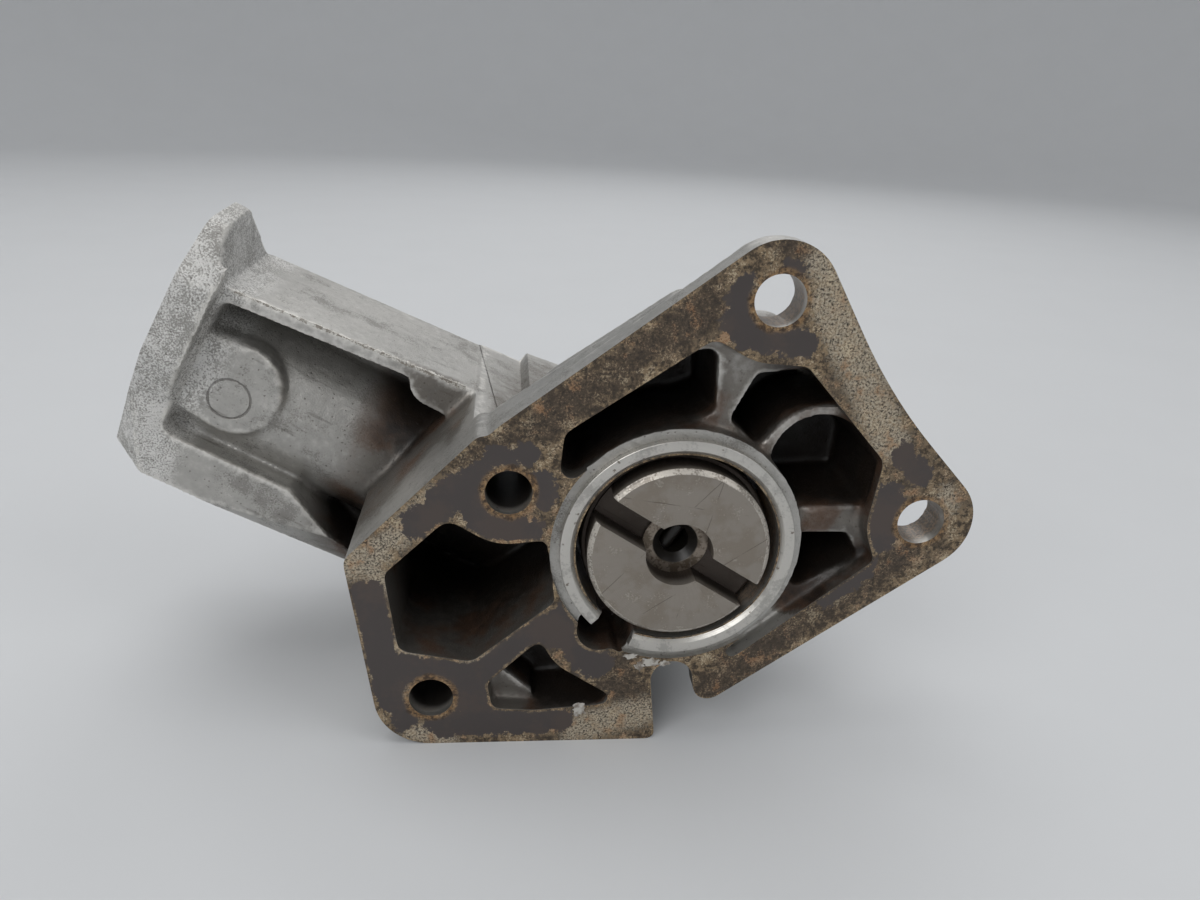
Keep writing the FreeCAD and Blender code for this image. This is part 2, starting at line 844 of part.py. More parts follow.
def key_box():
    """The key between drive shaft and gear, half sunk in each."""
    corner = FreeCAD.Vector(-key_size / 2, branch_depth_centre - key_length / 2,
                            shaft_radius - key_size / 2)
    return Part.makeBox(key_size, key_length, key_size, corner)


def drive_coupling():
    disc = bevelled_rod(coupling_disc_radius, coupling_front,
                        coupling_front + coupling_disc_length, coupling_chamfer)
    drum_front = coupling_front + coupling_disc_length
    drum_length = coupling_back - drum_front
    land_half = math.pi / scroll_count * (1 - scroll_groove_share)
    land_top = land_half * (1 - scroll_flank_share)
    drum_wire = toothed_outline(scroll_count, coupling_drum_radius - scroll_depth,
                                coupling_drum_radius, land_half, land_top)
    drum = twisted(drum_wire, drum_length, 2 * math.pi * drum_length / scroll_pitch)
    body = disc.fuse(ahead(drum, drum_front))
    reach = coupling_drum_radius + overlap
    slot = Part.makeBox(2 * reach, slot_depth + overlap, slot_width, FreeCAD.Vector(
        -reach, coupling_front - overlap, -slot_width / 2))
    slot.rotate(ORIGIN, BACK, -slot_angle)
    bore = rod(coupling_bore_radius, coupling_front - overlap, coupling_back + overlap)
    return body.cut([slot, bore, coupling_pin_rod()])


def coupling_pin_rod():
    """The cross pin through coupling and shaft nose, square to the slot."""
    length = 2 * (coupling_drum_radius - scroll_depth - pin_recess)
    place = coupling_back - (coupling_length - coupling_disc_length) / 2
    pin = Part.makeCylinder(pin_radius, length, FreeCAD.Vector(0, place, -length / 2), UP)
    pin.rotate(ORIGIN, BACK, -slot_angle)
    return pin


def drive_shaft():
    nose_front = coupling_back - shaft_nose_length
    shaft = rod(coupling_bore_radius, nose_front, coupling_back)
    shaft = shaft.fuse([rod(shaft_radius, coupling_back, gear_back),
                        rod(rear_journal_radius, gear_back, shaft_back)])
    mouth = shaft_oil_mouth - shaft_oil_hole
    groove = tube(rear_journal_radius + overlap, rear_journal_radius - circlip_groove,
                  rear_circlip_front, rear_circlip_front + circlip_thickness)
    return shaft.cut([
        rod(shaft_oil_hole, nose_front - overlap, nose_front + shaft_oil_depth),
        Part.makeCone(shaft_oil_mouth, shaft_oil_hole, mouth, BACK * nose_front, BACK),
        coupling_pin_rod(), key_box(), groove])


def drive_gear():
    gear = helical_gear(drive_pitch_radius, drive_helix, drive_gear_width)
    gear.rotate(ORIGIN, UP, 90.0 + branch_angle - 180.0 / tooth_count)
    return to_drive(gear).cut([rod(shaft_radius, gear_front - overlap, gear_back + overlap),
                               key_box()])


def spindle():
    core = post(spindle_radius, pinion_low, spindle_top)
    tail = post(spindle_tail_radius, tail_bush_low + side_play, pinion_low)
    body = core.fuse(tail)
    return to_branch(body.cut([cross_pin(pinion_pin_height, pinion_hub_radius),
                               cross_pin(dog_pin_height, dog_radius)]))


def cross_pin(height, reach):
    """A pin across the spindle, about local z."""
    length = 2 * (reach - pin_recess)
    return Part.makeCylinder(pin_radius, length, FreeCAD.Vector(-length / 2, 0, height),
                             FreeCAD.Vector(1, 0, 0))


def spindle_pinion():
    gear = helical_gear(pinion_pitch_radius, pinion_helix, pinion_width)
    gear = gear.fuse(post(pinion_hub_radius, pinion_high - overlap, pinion_hub_high))
    return to_branch(gear.cut([post(spindle_radius, pinion_low - overlap,
                                    pinion_hub_high + overlap),
                               cross_pin(pinion_pin_height, pinion_hub_radius)]))


def drive_dog():
    body = post(dog_radius, dog_low, dog_high)
    slot = Part.makeBox(2 * dog_radius, dog_slot_width, dog_slot_depth, FreeCAD.Vector(
        -dog_radius, dog_slot_offset - dog_slot_width / 2, dog_high - dog_slot_depth))
    return to_branch(body.cut([slot, post(spindle_radius, dog_low - overlap, spindle_top),
                               cross_pin(dog_pin_height, dog_radius)]))


def rear_core_plug():
    cup = rod(plug_radius, plug_front, housing_back)
    return cup.cut(rod(plug_radius - core_plug_thickness, plug_front + core_plug_thickness,
                       housing_back + overlap))


def build():
    washer_outer = shaft_radius + washer_reach
    return {
        "housing_casting": housing_casting(),
        "drive_coupling": drive_coupling(),
        "coupling_pin": coupling_pin_rod(),
        "drive_shaft": drive_shaft(),
        "drive_gear": drive_gear(),
        "gear_key": key_box(),
        "drive_front_bush": tube(bore_radius, shaft_radius + running,
                                 front_bush_front, front_bush_back),
        "front_bush_circlip": ahead(
            circlip(bore_radius + circlip_groove, bore_radius - circlip_land, circlip_thickness),
            front_circlip_front),
        "front_thrust_washer": tube(washer_outer, shaft_radius + side_play,
                                    front_washer_front, front_washer_front + washer_thickness),
        "rear_thrust_washer": tube(washer_outer, rear_journal_radius + side_play,
                                   rear_washer_back - washer_thickness, rear_washer_back),
        "drive_rear_bush": tube(rear_bush_radius, rear_journal_radius + running,
                                rear_wall_front, rear_bush_back),
        "rear_shaft_circlip": ahead(
            circlip(rear_journal_radius + circlip_land, rear_journal_radius - circlip_groove,
                    circlip_thickness), rear_circlip_front),
        "rear_core_plug": rear_core_plug(),
        "spindle": spindle(),
        "spindle_pinion": spindle_pinion(),
        "pinion_pin": to_branch(cross_pin(pinion_pin_height, pinion_hub_radius)),
        "spindle_tail_bush": to_branch(sleeve(
            tail_bush_radius, spindle_tail_radius + running, tail_bush_low, tail_bush_high)),
        "tail_thrust_washer": to_branch(sleeve(
            tail_bush_radius + washer_reach / 2, spindle_tail_radius + side_play,
            tail_washer_low, tail_washer_low + washer_thickness)),
        "upper_thrust_washer": to_branch(sleeve(
            spindle_radius + washer_reach / 2, spindle_radius + side_play,
            upper_washer_high - washer_thickness, upper_washer_high)),
        "spindle_upper_bush": to_branch(sleeve(
            pinion_bore_radius, spindle_radius + running, upper_bush_low, upper_bush_high)),
        "upper_bush_circlip": to_branch(upper_circlip()),
        "drive_dog": drive_dog(),
        "dog_pin": to_branch(cross_pin(dog_pin_height, dog_radius)),
    }


def upper_circlip():
    ring = circlip(pinion_bore_radius + circlip_groove, pinion_bore_radius - circlip_land / 2,
                   circlip_thickness)
    ring.translate(UP * upper_bush_high)
    return ring


os.makedirs("parts", exist_ok=True)
for node, shape in build().items():
    shape.exportStep(os.path.join("parts", node + ".step"))
    print(node, shape.isValid(), len(shape.Solids), round(shape.Volume, 1))
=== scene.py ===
import json
import math

import bmesh
import bpy
import numpy as np
from mathutils import Matrix, Vector
from mathutils.bvhtree import BVHTree
from mathutils.kdtree import KDTree


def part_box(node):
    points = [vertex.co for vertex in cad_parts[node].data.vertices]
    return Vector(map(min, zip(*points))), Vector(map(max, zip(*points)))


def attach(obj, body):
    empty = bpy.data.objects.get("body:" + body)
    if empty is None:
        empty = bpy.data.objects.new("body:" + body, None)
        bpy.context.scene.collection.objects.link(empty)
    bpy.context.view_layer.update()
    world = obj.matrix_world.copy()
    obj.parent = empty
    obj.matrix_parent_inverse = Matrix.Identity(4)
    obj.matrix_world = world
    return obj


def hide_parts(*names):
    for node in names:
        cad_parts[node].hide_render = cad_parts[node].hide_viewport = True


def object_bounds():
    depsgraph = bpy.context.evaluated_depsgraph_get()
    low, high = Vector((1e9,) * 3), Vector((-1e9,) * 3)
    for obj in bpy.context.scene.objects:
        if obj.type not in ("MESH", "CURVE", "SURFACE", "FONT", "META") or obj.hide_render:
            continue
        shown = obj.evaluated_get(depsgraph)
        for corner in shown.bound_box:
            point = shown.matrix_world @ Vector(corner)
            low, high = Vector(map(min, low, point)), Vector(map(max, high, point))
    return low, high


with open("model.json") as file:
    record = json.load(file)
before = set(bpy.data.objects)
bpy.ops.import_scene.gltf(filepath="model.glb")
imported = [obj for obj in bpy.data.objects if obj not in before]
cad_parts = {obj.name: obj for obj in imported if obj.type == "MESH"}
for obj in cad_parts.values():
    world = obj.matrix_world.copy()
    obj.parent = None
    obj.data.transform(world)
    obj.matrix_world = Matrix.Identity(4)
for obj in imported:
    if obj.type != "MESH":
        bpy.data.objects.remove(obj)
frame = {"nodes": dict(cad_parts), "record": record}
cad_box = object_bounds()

bl_info = {
    "name": "Distributor housing",
    "version": (1, 0, 0),
    "blender": (4, 5, 0),
    "location": "View3D > Sidebar > Housing",
    "description": "Finishes the cast distributor housing, its drive coupling and its stage",
    "category": "Object",
}

# Sizes are in metres and follow the frame: the flange face is at y = 0 and the drive axis is Y
MM = 0.001
mounts = {mount["name"]: mount for mount in frame["record"]["mounts"]}
branch_axis = Vector(mounts["distributor_socket"]["axis"])
socket_centre = Vector(mounts["distributor_socket"]["pos_m"])
socket_radius = mounts["distributor_socket"]["dims"]["r_mm"] * MM
spigot_radius = mounts["spigot_ring"]["dims"]["r_mm"] * MM
spigot_height = -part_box("housing_casting")[0].y
bore_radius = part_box("drive_front_bush")[1].x
bore_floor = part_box("rear_thrust_washer")[1].y
coupling_low, coupling_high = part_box("drive_coupling")
floor_height = cad_box[0].z
across_axis = Vector((branch_axis.z, 0, -branch_axis.x))
plate_distance = max(v.co.dot(branch_axis) for v in frame["nodes"]["housing_casting"].data.vertices)

# Machined faces are found to within a hundredth of a millimetre
ON_FACE = 1e-5

# Places of the sockets of a Mix node that mixes colours
MIX_FACTOR, MIX_FIRST, MIX_SECOND, MIX_RESULT = 0, 6, 7, 2

BOLT_HOLES = ["bolt_hole_upper_left", "bolt_hole_foot", "bolt_hole_top", "bolt_hole_right"]

# Strips of dark gasket film on the flange face, in millimetres: both ends in x and z, half width
FILM_STRIPS = [
    (-47.7, 5.2, -41.9, 9.9, 2.6), (-41.9, 10.6, -36.5, 13.9, 3.2), (-38.0, 10.6, -37.1, 6.5, 2.2),
    (-35.2, 4.8, -27.8, 4.1, 2.4), (-25.2, 10.7, -25.6, 13.4, 2.0), (-34.1, 18.2, -28.1, 18.9, 1.5),
    (-56.6, -9.7, -53.6, -30.0, 3.0), (-53.3, -25.2, -36.0, -27.0, 3.2),
    (-37.6, -27.0, -37.6, -37.5, 3.4), (-35.1, -25.7, -26.0, -17.0, 2.5),
    (-25.8, -18.6, -18.6, -14.0, 3.0), (-18.8, -19.1, -14.5, -25.0, 3.0),
    (-44.0, -38.4, -20.9, -38.2, 2.6), (-54.0, -30.7, -50.8, -37.3, 2.0),
    (7.2, 48.6, 6.6, 42.7, 2.4), (8.0, 41.3, 18.5, 39.9, 2.1), (14.8, 53.0, 16.0, 52.6, 0.9),
    (39.9, 19.6, 44.4, 15.4, 1.7), (38.3, 10.3, 39.0, 3.2, 3.2), (36.6, -3.8, 30.6, -10.0, 1.9),
]

# Strips of dark burnt residue, in the same form
BURNT_STRIPS = [
    (-39.0, 17.8, -28.0, 23.0, 1.6), (-26.0, 24.6, -12.0, 35.0, 2.6), (-8.0, 38.6, 2.0, 46.4, 2.2),
    (36.0, -6.0, 14.0, -24.0, 3.6), (8.6, -31.0, 20.0, -27.0, 2.6), (44.0, -1.0, 38.0, -6.0, 2.0),
    (-12.0, -27.0, -5.0, -33.0, 3.0), (-56.0, -2.0, -52.0, 4.0, 0.8), (12.0, 56.0, 18.0, 55.0, 0.9),
]

# Strips of pale caked residue, in the same form
PALE_STRIPS = [
    (-58.9, -2.9, -54.9, -0.4, 2.0), (-55.6, -4.6, -54.5, -7.5, 1.0), (-50.9, -20.4, -48.7, -22.4, 0.9),
    (-38.4, -24.2, -34.5, -23.0, 0.8), (-53.1, -28.7, -51.5, -30.3, 1.3),
    (-49.2, -40.4, -43.2, -41.8, 1.2), (-17.3, -40.2, -4.3, -36.3, 2.3),
    (22.0, 47.6, 30.3, 33.9, 2.5), (30.3, 33.9, 37.2, 21.7, 2.4), (49.1, 7.8, 50.2, 10.5, 1.7),
    (19.5, 54.0, 22.4, 49.8, 1.6), (-52.0, 2.4, -44.0, 10.5, 1.4),
]


class HousingSizes(bpy.types.PropertyGroup):
    """Sizes of the finish that the scene adds to the frame."""
    grain: bpy.props.FloatProperty(
        name="Mesh grain", description="Voxel size of the cast skin", default=0.0006, unit="LENGTH")
    softening: bpy.props.IntProperty(
        name="Softening", description="Smoothing passes that round the cast edges", default=5)
    # The lip band carries the flange's tan edge crust, partly residue and partly painted highlight
    lip: bpy.props.FloatProperty(
        name="Lip width", description="Width of the residue along the flange's edges",
        default=0.0011, unit="LENGTH")
    flash_start: bpy.props.FloatVectorProperty(
        name="Flash start", description="Where the casting's flash starts: along the branch, across it",
        size=2, default=(0.092, 0.0215), unit="LENGTH")
    flash_end: bpy.props.FloatVectorProperty(
        name="Flash end", description="Where the flash ends by the body", size=2,
        default=(0.0455, 0.0260), unit="LENGTH")
    stock: bpy.props.FloatProperty(
        name="Machining stock", description="Metal cut from the machined faces", default=0.003,
        unit="LENGTH")
    ring_bevel: bpy.props.FloatProperty(
        name="Ring bevel", description="Bevel inside the spigot ring", default=0.0011, unit="LENGTH")
    ring_gap_start: bpy.props.FloatProperty(
        name="Ring gap start", description="Angle where the ring stops", default=math.radians(225),
        subtype="ANGLE")
    ring_gap_end: bpy.props.FloatProperty(
        name="Ring gap end", description="Angle where the ring starts again",
        default=math.radians(248), subtype="ANGLE")
    disc_radius: bpy.props.FloatProperty(
        name="Disc radius", description="Radius of the coupling's disc", default=0.017, unit="LENGTH")
    disc_bevel: bpy.props.FloatProperty(
        name="Disc bevel", description="Bevel round the disc's face", default=0.0008, unit="LENGTH")
    slot_width: bpy.props.FloatProperty(
        name="Slot width", description="Width of the coupling's slot", default=0.0055, unit="LENGTH")
    slot_depth: bpy.props.FloatProperty(
        name="Slot depth", description="Depth of the coupling's slot", default=0.0054, unit="LENGTH")
    slot_angle: bpy.props.FloatProperty(
        name="Slot angle", description="Angle of the slot from level", default=math.radians(-32),
        subtype="ANGLE")


class HousingColours(bpy.types.PropertyGroup):
    """Colours of the finishes."""
    cast: bpy.props.FloatVectorProperty(
        name="Cast metal", description="Grey of the cast surface", subtype="COLOR", size=3,
        default=(0.36, 0.35, 0.33))
    cast_pale: bpy.props.FloatVectorProperty(
        name="Pale cast metal", description="Rubbed and blasted spots", subtype="COLOR", size=3,
        default=(0.66, 0.645, 0.61))
    # This black is also the painted shade in the casting's hollows
    oil: bpy.props.FloatVectorProperty(
        name="Oil", description="Black oil in the hollows", subtype="COLOR", size=3,
        default=(0.012, 0.009, 0.007))
    rust: bpy.props.FloatVectorProperty(
        name="Rust stain", description="Brown stain in the pockets", subtype="COLOR", size=3,
        default=(0.13, 0.06, 0.028))
    film: bpy.props.FloatVectorProperty(
        name="Gasket film", description="Dark film on the flange face", subtype="COLOR", size=3,
        default=(0.060, 0.050, 0.047))
    tan: bpy.props.FloatVectorProperty(
        name="Tan residue", description="Baked residue along the flange edges", subtype="COLOR",
        size=3, default=(0.27, 0.195, 0.115))
    machined: bpy.props.FloatVectorProperty(
        name="Machined metal", description="Bright turned metal", subtype="COLOR", size=3,
        default=(0.60, 0.58, 0.54))
    steel: bpy.props.FloatVectorProperty(
        name="Steel", description="Warm grey of the coupling", subtype="COLOR", size=3,
        default=(0.30, 0.27, 0.235))
    floor: bpy.props.FloatVectorProperty(
        name="Floor", description="Plain pale floor", subtype="COLOR", size=3,
        default=(0.62, 0.63, 0.64))


class Value:
    """One output socket, with the operators that add Math nodes."""

    def __init__(self, paint, socket):
        self.paint = paint
        self.socket = socket

    def math(self, operation, *others, clamp=False):
        return self.paint.add("ShaderNodeMath", {"operation": operation, "use_clamp": clamp},
                              [self, *others])

    def __add__(self, other):
        return self.math("ADD", other)

    def __radd__(self, other):
        return self.math("ADD", other)

    def __sub__(self, other):
        return self.math("SUBTRACT", other)

    def __rsub__(self, other):
        return self.paint.add("ShaderNodeMath", {"operation": "SUBTRACT"}, [other, self])

    def __mul__(self, other):
        return self.math("MULTIPLY", other)

    def __rmul__(self, other):
        return self.math("MULTIPLY", other)

    def __pow__(self, other):
        return self.math("POWER", other)

    def __abs__(self):
        return self.math("ABSOLUTE")

    def least(self, other):
        return self.math("MINIMUM", other)

    def most(self, other):
        return self.math("MAXIMUM", other)

    def clamped(self):
        return self.math("ADD", 0.0, clamp=True)

    def between(self, low, high):
        """0 below low, 1 above high and a smooth step between them; low may be the larger."""
        return self.paint.add("ShaderNodeMapRange", {"interpolation_type": "SMOOTHSTEP"},
                              {"Value": self, "From Min": low, "From Max": high})


class Paint:
    """A material under construction."""

    def __init__(self, name):
        self.material = bpy.data.materials.new(name)
        self.material.use_nodes = True
        self.tree = self.material.node_tree
        self.shader = self.tree.nodes["Principled BSDF"]
        coordinates = self.add("ShaderNodeTexCoord", out="Object")
        self.place = self.add("ShaderNodeVectorMath", {"operation": "SCALE"},
                              {"Vector": coordinates, "Scale": 1 / MM})
        self.x, self.y, self.z = (
            self.add("ShaderNodeSeparateXYZ", sockets=[self.place], out=axis) for axis in "XYZ")

    def connect(self, node, name, value):
        """Sets a socket of a node to a value, or links it."""
        if isinstance(value, Value):
            self.tree.links.new(value.socket, node.inputs[name])
        else:
            node.inputs[name].default_value = value

    def add(self, kind, settings=None, sockets=None, out=0):
        """Adds a node: its settings first, then the values or links of its sockets."""
        node = self.tree.nodes.new(kind)
        for name, setting in (settings or {}).items():
            setattr(node, name, setting)
        pairs = sockets.items() if isinstance(sockets, dict) else enumerate(sockets or [])
        for name, value in pairs:
            self.connect(node, name, value)
        return Value(self, node.outputs[out])

    def noise(self, size, detail=4.0, roughness=0.55, place=None, stretch=None):
        """Noise from 0 to 1 whose features are about size millimetres."""
        where = place or self.place
        if stretch:
            where = self.add("ShaderNodeVectorMath", {"operation": "MULTIPLY"}, [where, stretch])
        return self.add("ShaderNodeTexNoise", {}, {
            "Vector": where, "Scale": 1 / size, "Detail": detail, "Roughness": roughness})

    def specks(self, size):
        """Distance to the nearest speck, in units of size millimetres."""
        return self.add("ShaderNodeTexVoronoi", {"feature": "F1"}, {
            "Vector": self.place, "Scale": 1 / size}, out="Distance")

    def mix(self, factor, first, second):
        """A mix of two colours, the first where the factor is 0."""
        first, second = (c if isinstance(c, Value) else (*c, 1) for c in (first, second))
        return self.add("ShaderNodeMix", {"data_type": "RGBA"}, {
            MIX_FACTOR: factor, MIX_FIRST: first, MIX_SECOND: second}, out=MIX_RESULT)

    def along(self, axis):
        """Distance in millimetres along an axis."""
        return self.add("ShaderNodeVectorMath", {"operation": "DOT_PRODUCT"},
                        [self.place, tuple(axis)], out="Value")

    def turned(self, axis):
        """The place in millimetres, turned so that z runs along an axis."""
        side = Vector(axis).cross((0, 1, 0)).normalized()
        rows = [self.along(side), self.y, self.along(axis)]
        return self.add("ShaderNodeCombineXYZ", {}, rows)

    def strips(self, rows):
        """Distance in millimetres to the nearest of some strips on the flange face."""
        nearest = None
        for x, z, far_x, far_z, half in rows:
            run = Vector((far_x - x, 0, far_z - z))
            start = self.add("ShaderNodeVectorMath", {"operation": "SUBTRACT"},
                             [self.place, (x, 0, z)])
            share = self.add("ShaderNodeVectorMath", {"operation": "DOT_PRODUCT"},
                             [start, tuple(run / run.length_squared)], out="Value").clamped()
            foot = self.add("ShaderNodeVectorMath", {"operation": "SCALE"},
                            {"Vector": tuple(run), "Scale": share})
            gap = self.add("ShaderNodeVectorMath", {"operation": "DISTANCE"}, [start, foot],
                           out="Value") - half
            nearest = gap if nearest is None else nearest.least(gap)
        return nearest

    def attribute(self, name):
        """A number stored on the mesh's points."""
        return self.add("ShaderNodeAttribute", {"attribute_name": name}, out="Fac")

    def finish(self, colour, roughness, metallic, bump=None, strength=0.4, depth=0.0002):
        """Gives the shader its colour, roughness, metal and bump, and returns the material."""
        for name, value in (("Base Color", colour), ("Roughness", roughness), ("Metallic", metallic)):
            self.connect(self.shader, name, value)
        if bump:
            normal = self.add("ShaderNodeBump", {}, {
                "Strength": strength, "Distance": depth, "Height": bump}, out="Normal")
            self.connect(self.shader, "Normal", normal)
        return self.material


def span(across, up):
    """Distance from the middle, from the distances across and up."""
    return (across * across + up * up) ** 0.5


def colours():
    """The scene's colours."""
    return bpy.context.scene.housing_colours


def sizes():
    """The scene's sizes."""
    return bpy.context.scene.housing_sizes


def cast_paint():
    """Old cast aluminium: grainy grey, pale on edges from rubbing and painted highlight, painted shade
    with oil in the hollows, rust in the pockets.
    """
    dull_grey, dark_grey, grit_brown = (0.17, 0.16, 0.145), (0.12, 0.11, 0.095), (0.07, 0.055, 0.045)
    blasted_dark, blasted_pale, line_dark = (0.30, 0.29, 0.27), (0.80, 0.79, 0.77), (0.06, 0.052, 0.045)
    hollow_oil_and_shade_brown, rubbed_and_highlight_pale = (0.115, 0.098, 0.080), (0.74, 0.72, 0.68)
    plate_start, plate_end, pocket_end, pocket_start = 85.0, 91.0, 64.0, 54.0
    mark_along, mark_across, mark_radius, pad_front, pad_back = 84.7, -25.6, 4.1, 32.0, 34.0
    parting_along, parting_lean, parting_front = 35.8, 0.125, 12.0
    tint = colours()
    paint = Paint("cast_aluminium_aged")
    fine, coarse = paint.noise(0.35, 5), paint.noise(1.8, 5)
    patches, clouds = paint.noise(8.0, 4), paint.noise(28.0, 3)
    enclosure, edge = paint.attribute("enclosure"), paint.attribute("edge")
    reach, across = paint.along(branch_axis), paint.along(across_axis)
    colour = paint.mix((coarse - 0.5) * 0.7 + (clouds - 0.5) * 0.7 + 0.25, tint.cast, tint.cast_pale)
    dull = (patches + (fine - 0.5) * 0.5).between(0.54, 0.70) * 0.5
    colour = paint.mix(dull, colour, dull_grey)
    streak = paint.noise(1.6, 4, place=paint.turned(branch_axis), stretch=(1.0, 1.0, 0.12))
    colour = paint.mix(streak.between(0.60, 0.72) * 0.4, colour, dark_grey)
    blasted = (reach + (patches - 0.5) * 8.0).between(plate_start, plate_end)
    mottle = (coarse * 0.4 + patches * 0.6 + (fine - 0.5) * 1.5).between(0.34, 0.66)
    colour = paint.mix(blasted * 0.8, colour, paint.mix(mottle, blasted_dark, blasted_pale))
    speck = (paint.specks(1.3) + (fine - 0.5) * 0.6).between(0.16, 0.05) * 0.55
    colour = paint.mix(speck, colour, grit_brown)
    mark = abs(span(reach - mark_along, across - mark_across) - mark_radius)
    mark = (mark + (coarse - 0.5) * 0.4).between(0.30, 0.10) * paint.y.between(pad_back, pad_front)
    parting = abs(reach - parting_along - paint.y * parting_lean + (coarse - 0.5) * 0.3)
    parting = parting.between(0.20, 0.06) * across.between(-4.0, -3.0)
    parting = parting * paint.y.between(parting_front, parting_front + 1)
    colour = paint.mix((mark * 0.55).most(parting * 0.8), colour, line_dark)
    hidden = enclosure + (coarse - 0.5) * 0.22 + (clouds - 0.5) * 0.2
    inside = reach.between(pocket_end, pocket_start)
    # Painted shade, partly oily grime: brown where the surface in the pockets is enclosed
    colour = paint.mix(hidden.between(0.05, 0.20) * inside * 0.72, colour, hollow_oil_and_shade_brown)
    # Pale on convex edges: partly rubbed wear, partly painted highlight along the ridges
    rubbed_and_highlight = (edge + (coarse - 0.5) * 0.5).between(0.54, 0.80) * 0.85
    colour = paint.mix(rubbed_and_highlight, colour, rubbed_and_highlight_pale)
    stain = (hidden + (patches - 0.5) * 0.4).between(0.20, 0.42) * patches.between(0.40, 0.58) * 0.8
    colour = paint.mix(stain * inside, colour, tint.rust)
    # Painted shade with oil: near black where the surface is most enclosed
    oil = hidden.between(0.42, 0.80) * (1 - inside) + hidden.between(0.20, 0.52) * inside
    colour = paint.mix(oil * 0.97, colour, tint.oil)
    rough = 0.42 + (fine - 0.5) * 0.3 + dull * 0.3 + blasted * 0.14 - oil * 0.06
    metal = (0.78 - oil * 0.6 - stain * 0.3 - blasted * 0.25).clamped()
    relief = fine * 0.45 + coarse * 0.8 + patches * 0.6 - speck * 0.8 + blasted * fine * 0.8
    relief = relief - mark * 1.2 - parting * 1.5
    return paint.finish(colour, rough.clamped(), metal, relief, 0.6, 0.00028)


def flange_paint():
    """The flange face: baked tan and grey residue, patches of smooth dark gasket film, and tan flecks
    along its edges, partly crust and partly painted highlight.
    """
    dark_brown, cloud_brown = (0.062, 0.043, 0.026), (0.085, 0.066, 0.047)
    burnt_brown, pit_black = (0.050, 0.036, 0.026), (0.030, 0.022, 0.015)
    caked_pale, cream_pale = (0.56, 0.49, 0.375), (0.60, 0.51, 0.36)
    rust_red, film_worn, film_brown = (0.26, 0.105, 0.030), (0.15, 0.12, 0.10), (0.085, 0.062, 0.050)
    rim_dark, rim_rust, fleck_tan = (0.055, 0.028, 0.014), (0.34, 0.19, 0.075), (0.48, 0.355, 0.20)
    tint = colours()
    paint = Paint("flange_face_residue")
    grit, fine = paint.noise(0.42, 6, 0.75), paint.noise(1.0, 5, 0.7)
    mottle, clouds = paint.noise(3.2, 5, 0.6), paint.noise(12.0, 4)
    lip = paint.attribute("lip")
    wobble = (mottle - 0.5) * 6.0 + (fine - 0.5) * 3.4
    film = (paint.strips(FILM_STRIPS) + wobble).between(0.75, 0.25)
    caked = (paint.strips(PALE_STRIPS) + wobble).between(2.4, -0.6)
    burnt = (paint.strips(BURNT_STRIPS) + wobble).between(2.6, -0.8)
    holes = None
    for name in BOLT_HOLES:
        place = Vector(mounts[name]["pos_m"]) / MM
        ring = span(paint.x - place.x, paint.z - place.z) - mounts[name]["dims"]["r_mm"]
        holes = ring if holes is None else holes.least(ring)
    rim = (holes + (mottle - 0.5) * 2.0 + (fine - 0.5) * 1.4).between(1.5, 0.5)
    # Along the face's edges: partly baked crust, partly painted highlight on the lit lips; it thins the
    # film and adds tan flecks
    crust_and_highlight = (lip + (mottle - 0.5) * 0.9 + (fine - 0.5) * 0.7).between(0.42, 0.72)
    base = paint.mix((fine + (mottle - 0.5) * 0.8).between(0.38, 0.60), dark_brown, tint.tan)
    cloudy = (clouds + (mottle - 0.5) * 0.7).between(0.42, 0.58) * 0.55
    base = paint.mix(cloudy, base, cloud_brown)
    base = paint.mix(burnt * grit.between(0.62, 0.46) * 0.85, base, burnt_brown)
    base = paint.mix(caked * grit.between(0.40, 0.58) * 0.85, base, caked_pale)
    cream = (grit + (mottle - 0.5) * 0.9).between(0.56, 0.66) * (0.75 - burnt * 0.45)
    base = paint.mix(cream, base, cream_pale)
    pits = (fine + (grit - 0.5) * 0.9).between(0.46, 0.34) * 0.85
    base = paint.mix(pits, base, pit_black)
    rusty = (mottle + (grit - 0.5) * 0.5).between(0.52, 0.66) * clouds.between(0.42, 0.58) * 0.6
    base = paint.mix(rusty, base, rust_red)
    smooth = paint.mix(grit.between(0.58, 0.70) * 0.35, tint.film, film_worn)
    worn = (clouds + (fine - 0.5) * 0.3).between(0.46, 0.60) * 0.5
    smooth = paint.mix(worn, smooth, film_brown)
    covered = film * (1 - rim * 0.9) * (1 - crust_and_highlight * 0.75)
    colour = paint.mix(covered, base, smooth)
    colour = paint.mix(rim * 0.6, colour, paint.mix(fine.between(0.42, 0.60), rim_dark, rim_rust))
    flecks = grit.between(0.50, 0.62) * mottle.between(0.42, 0.56)
    colour = paint.mix(crust_and_highlight * flecks * 0.85, colour, fleck_tan)
    rough = 0.66 - covered * 0.16 + (grit - 0.5) * 0.2
    relief = (1 - covered) * (grit * 0.9 + fine * 0.9) + covered * 0.95 + mottle * 0.2
    return paint.finish(colour, rough.clamped(), 0.10, relief, 0.75, 0.00026)


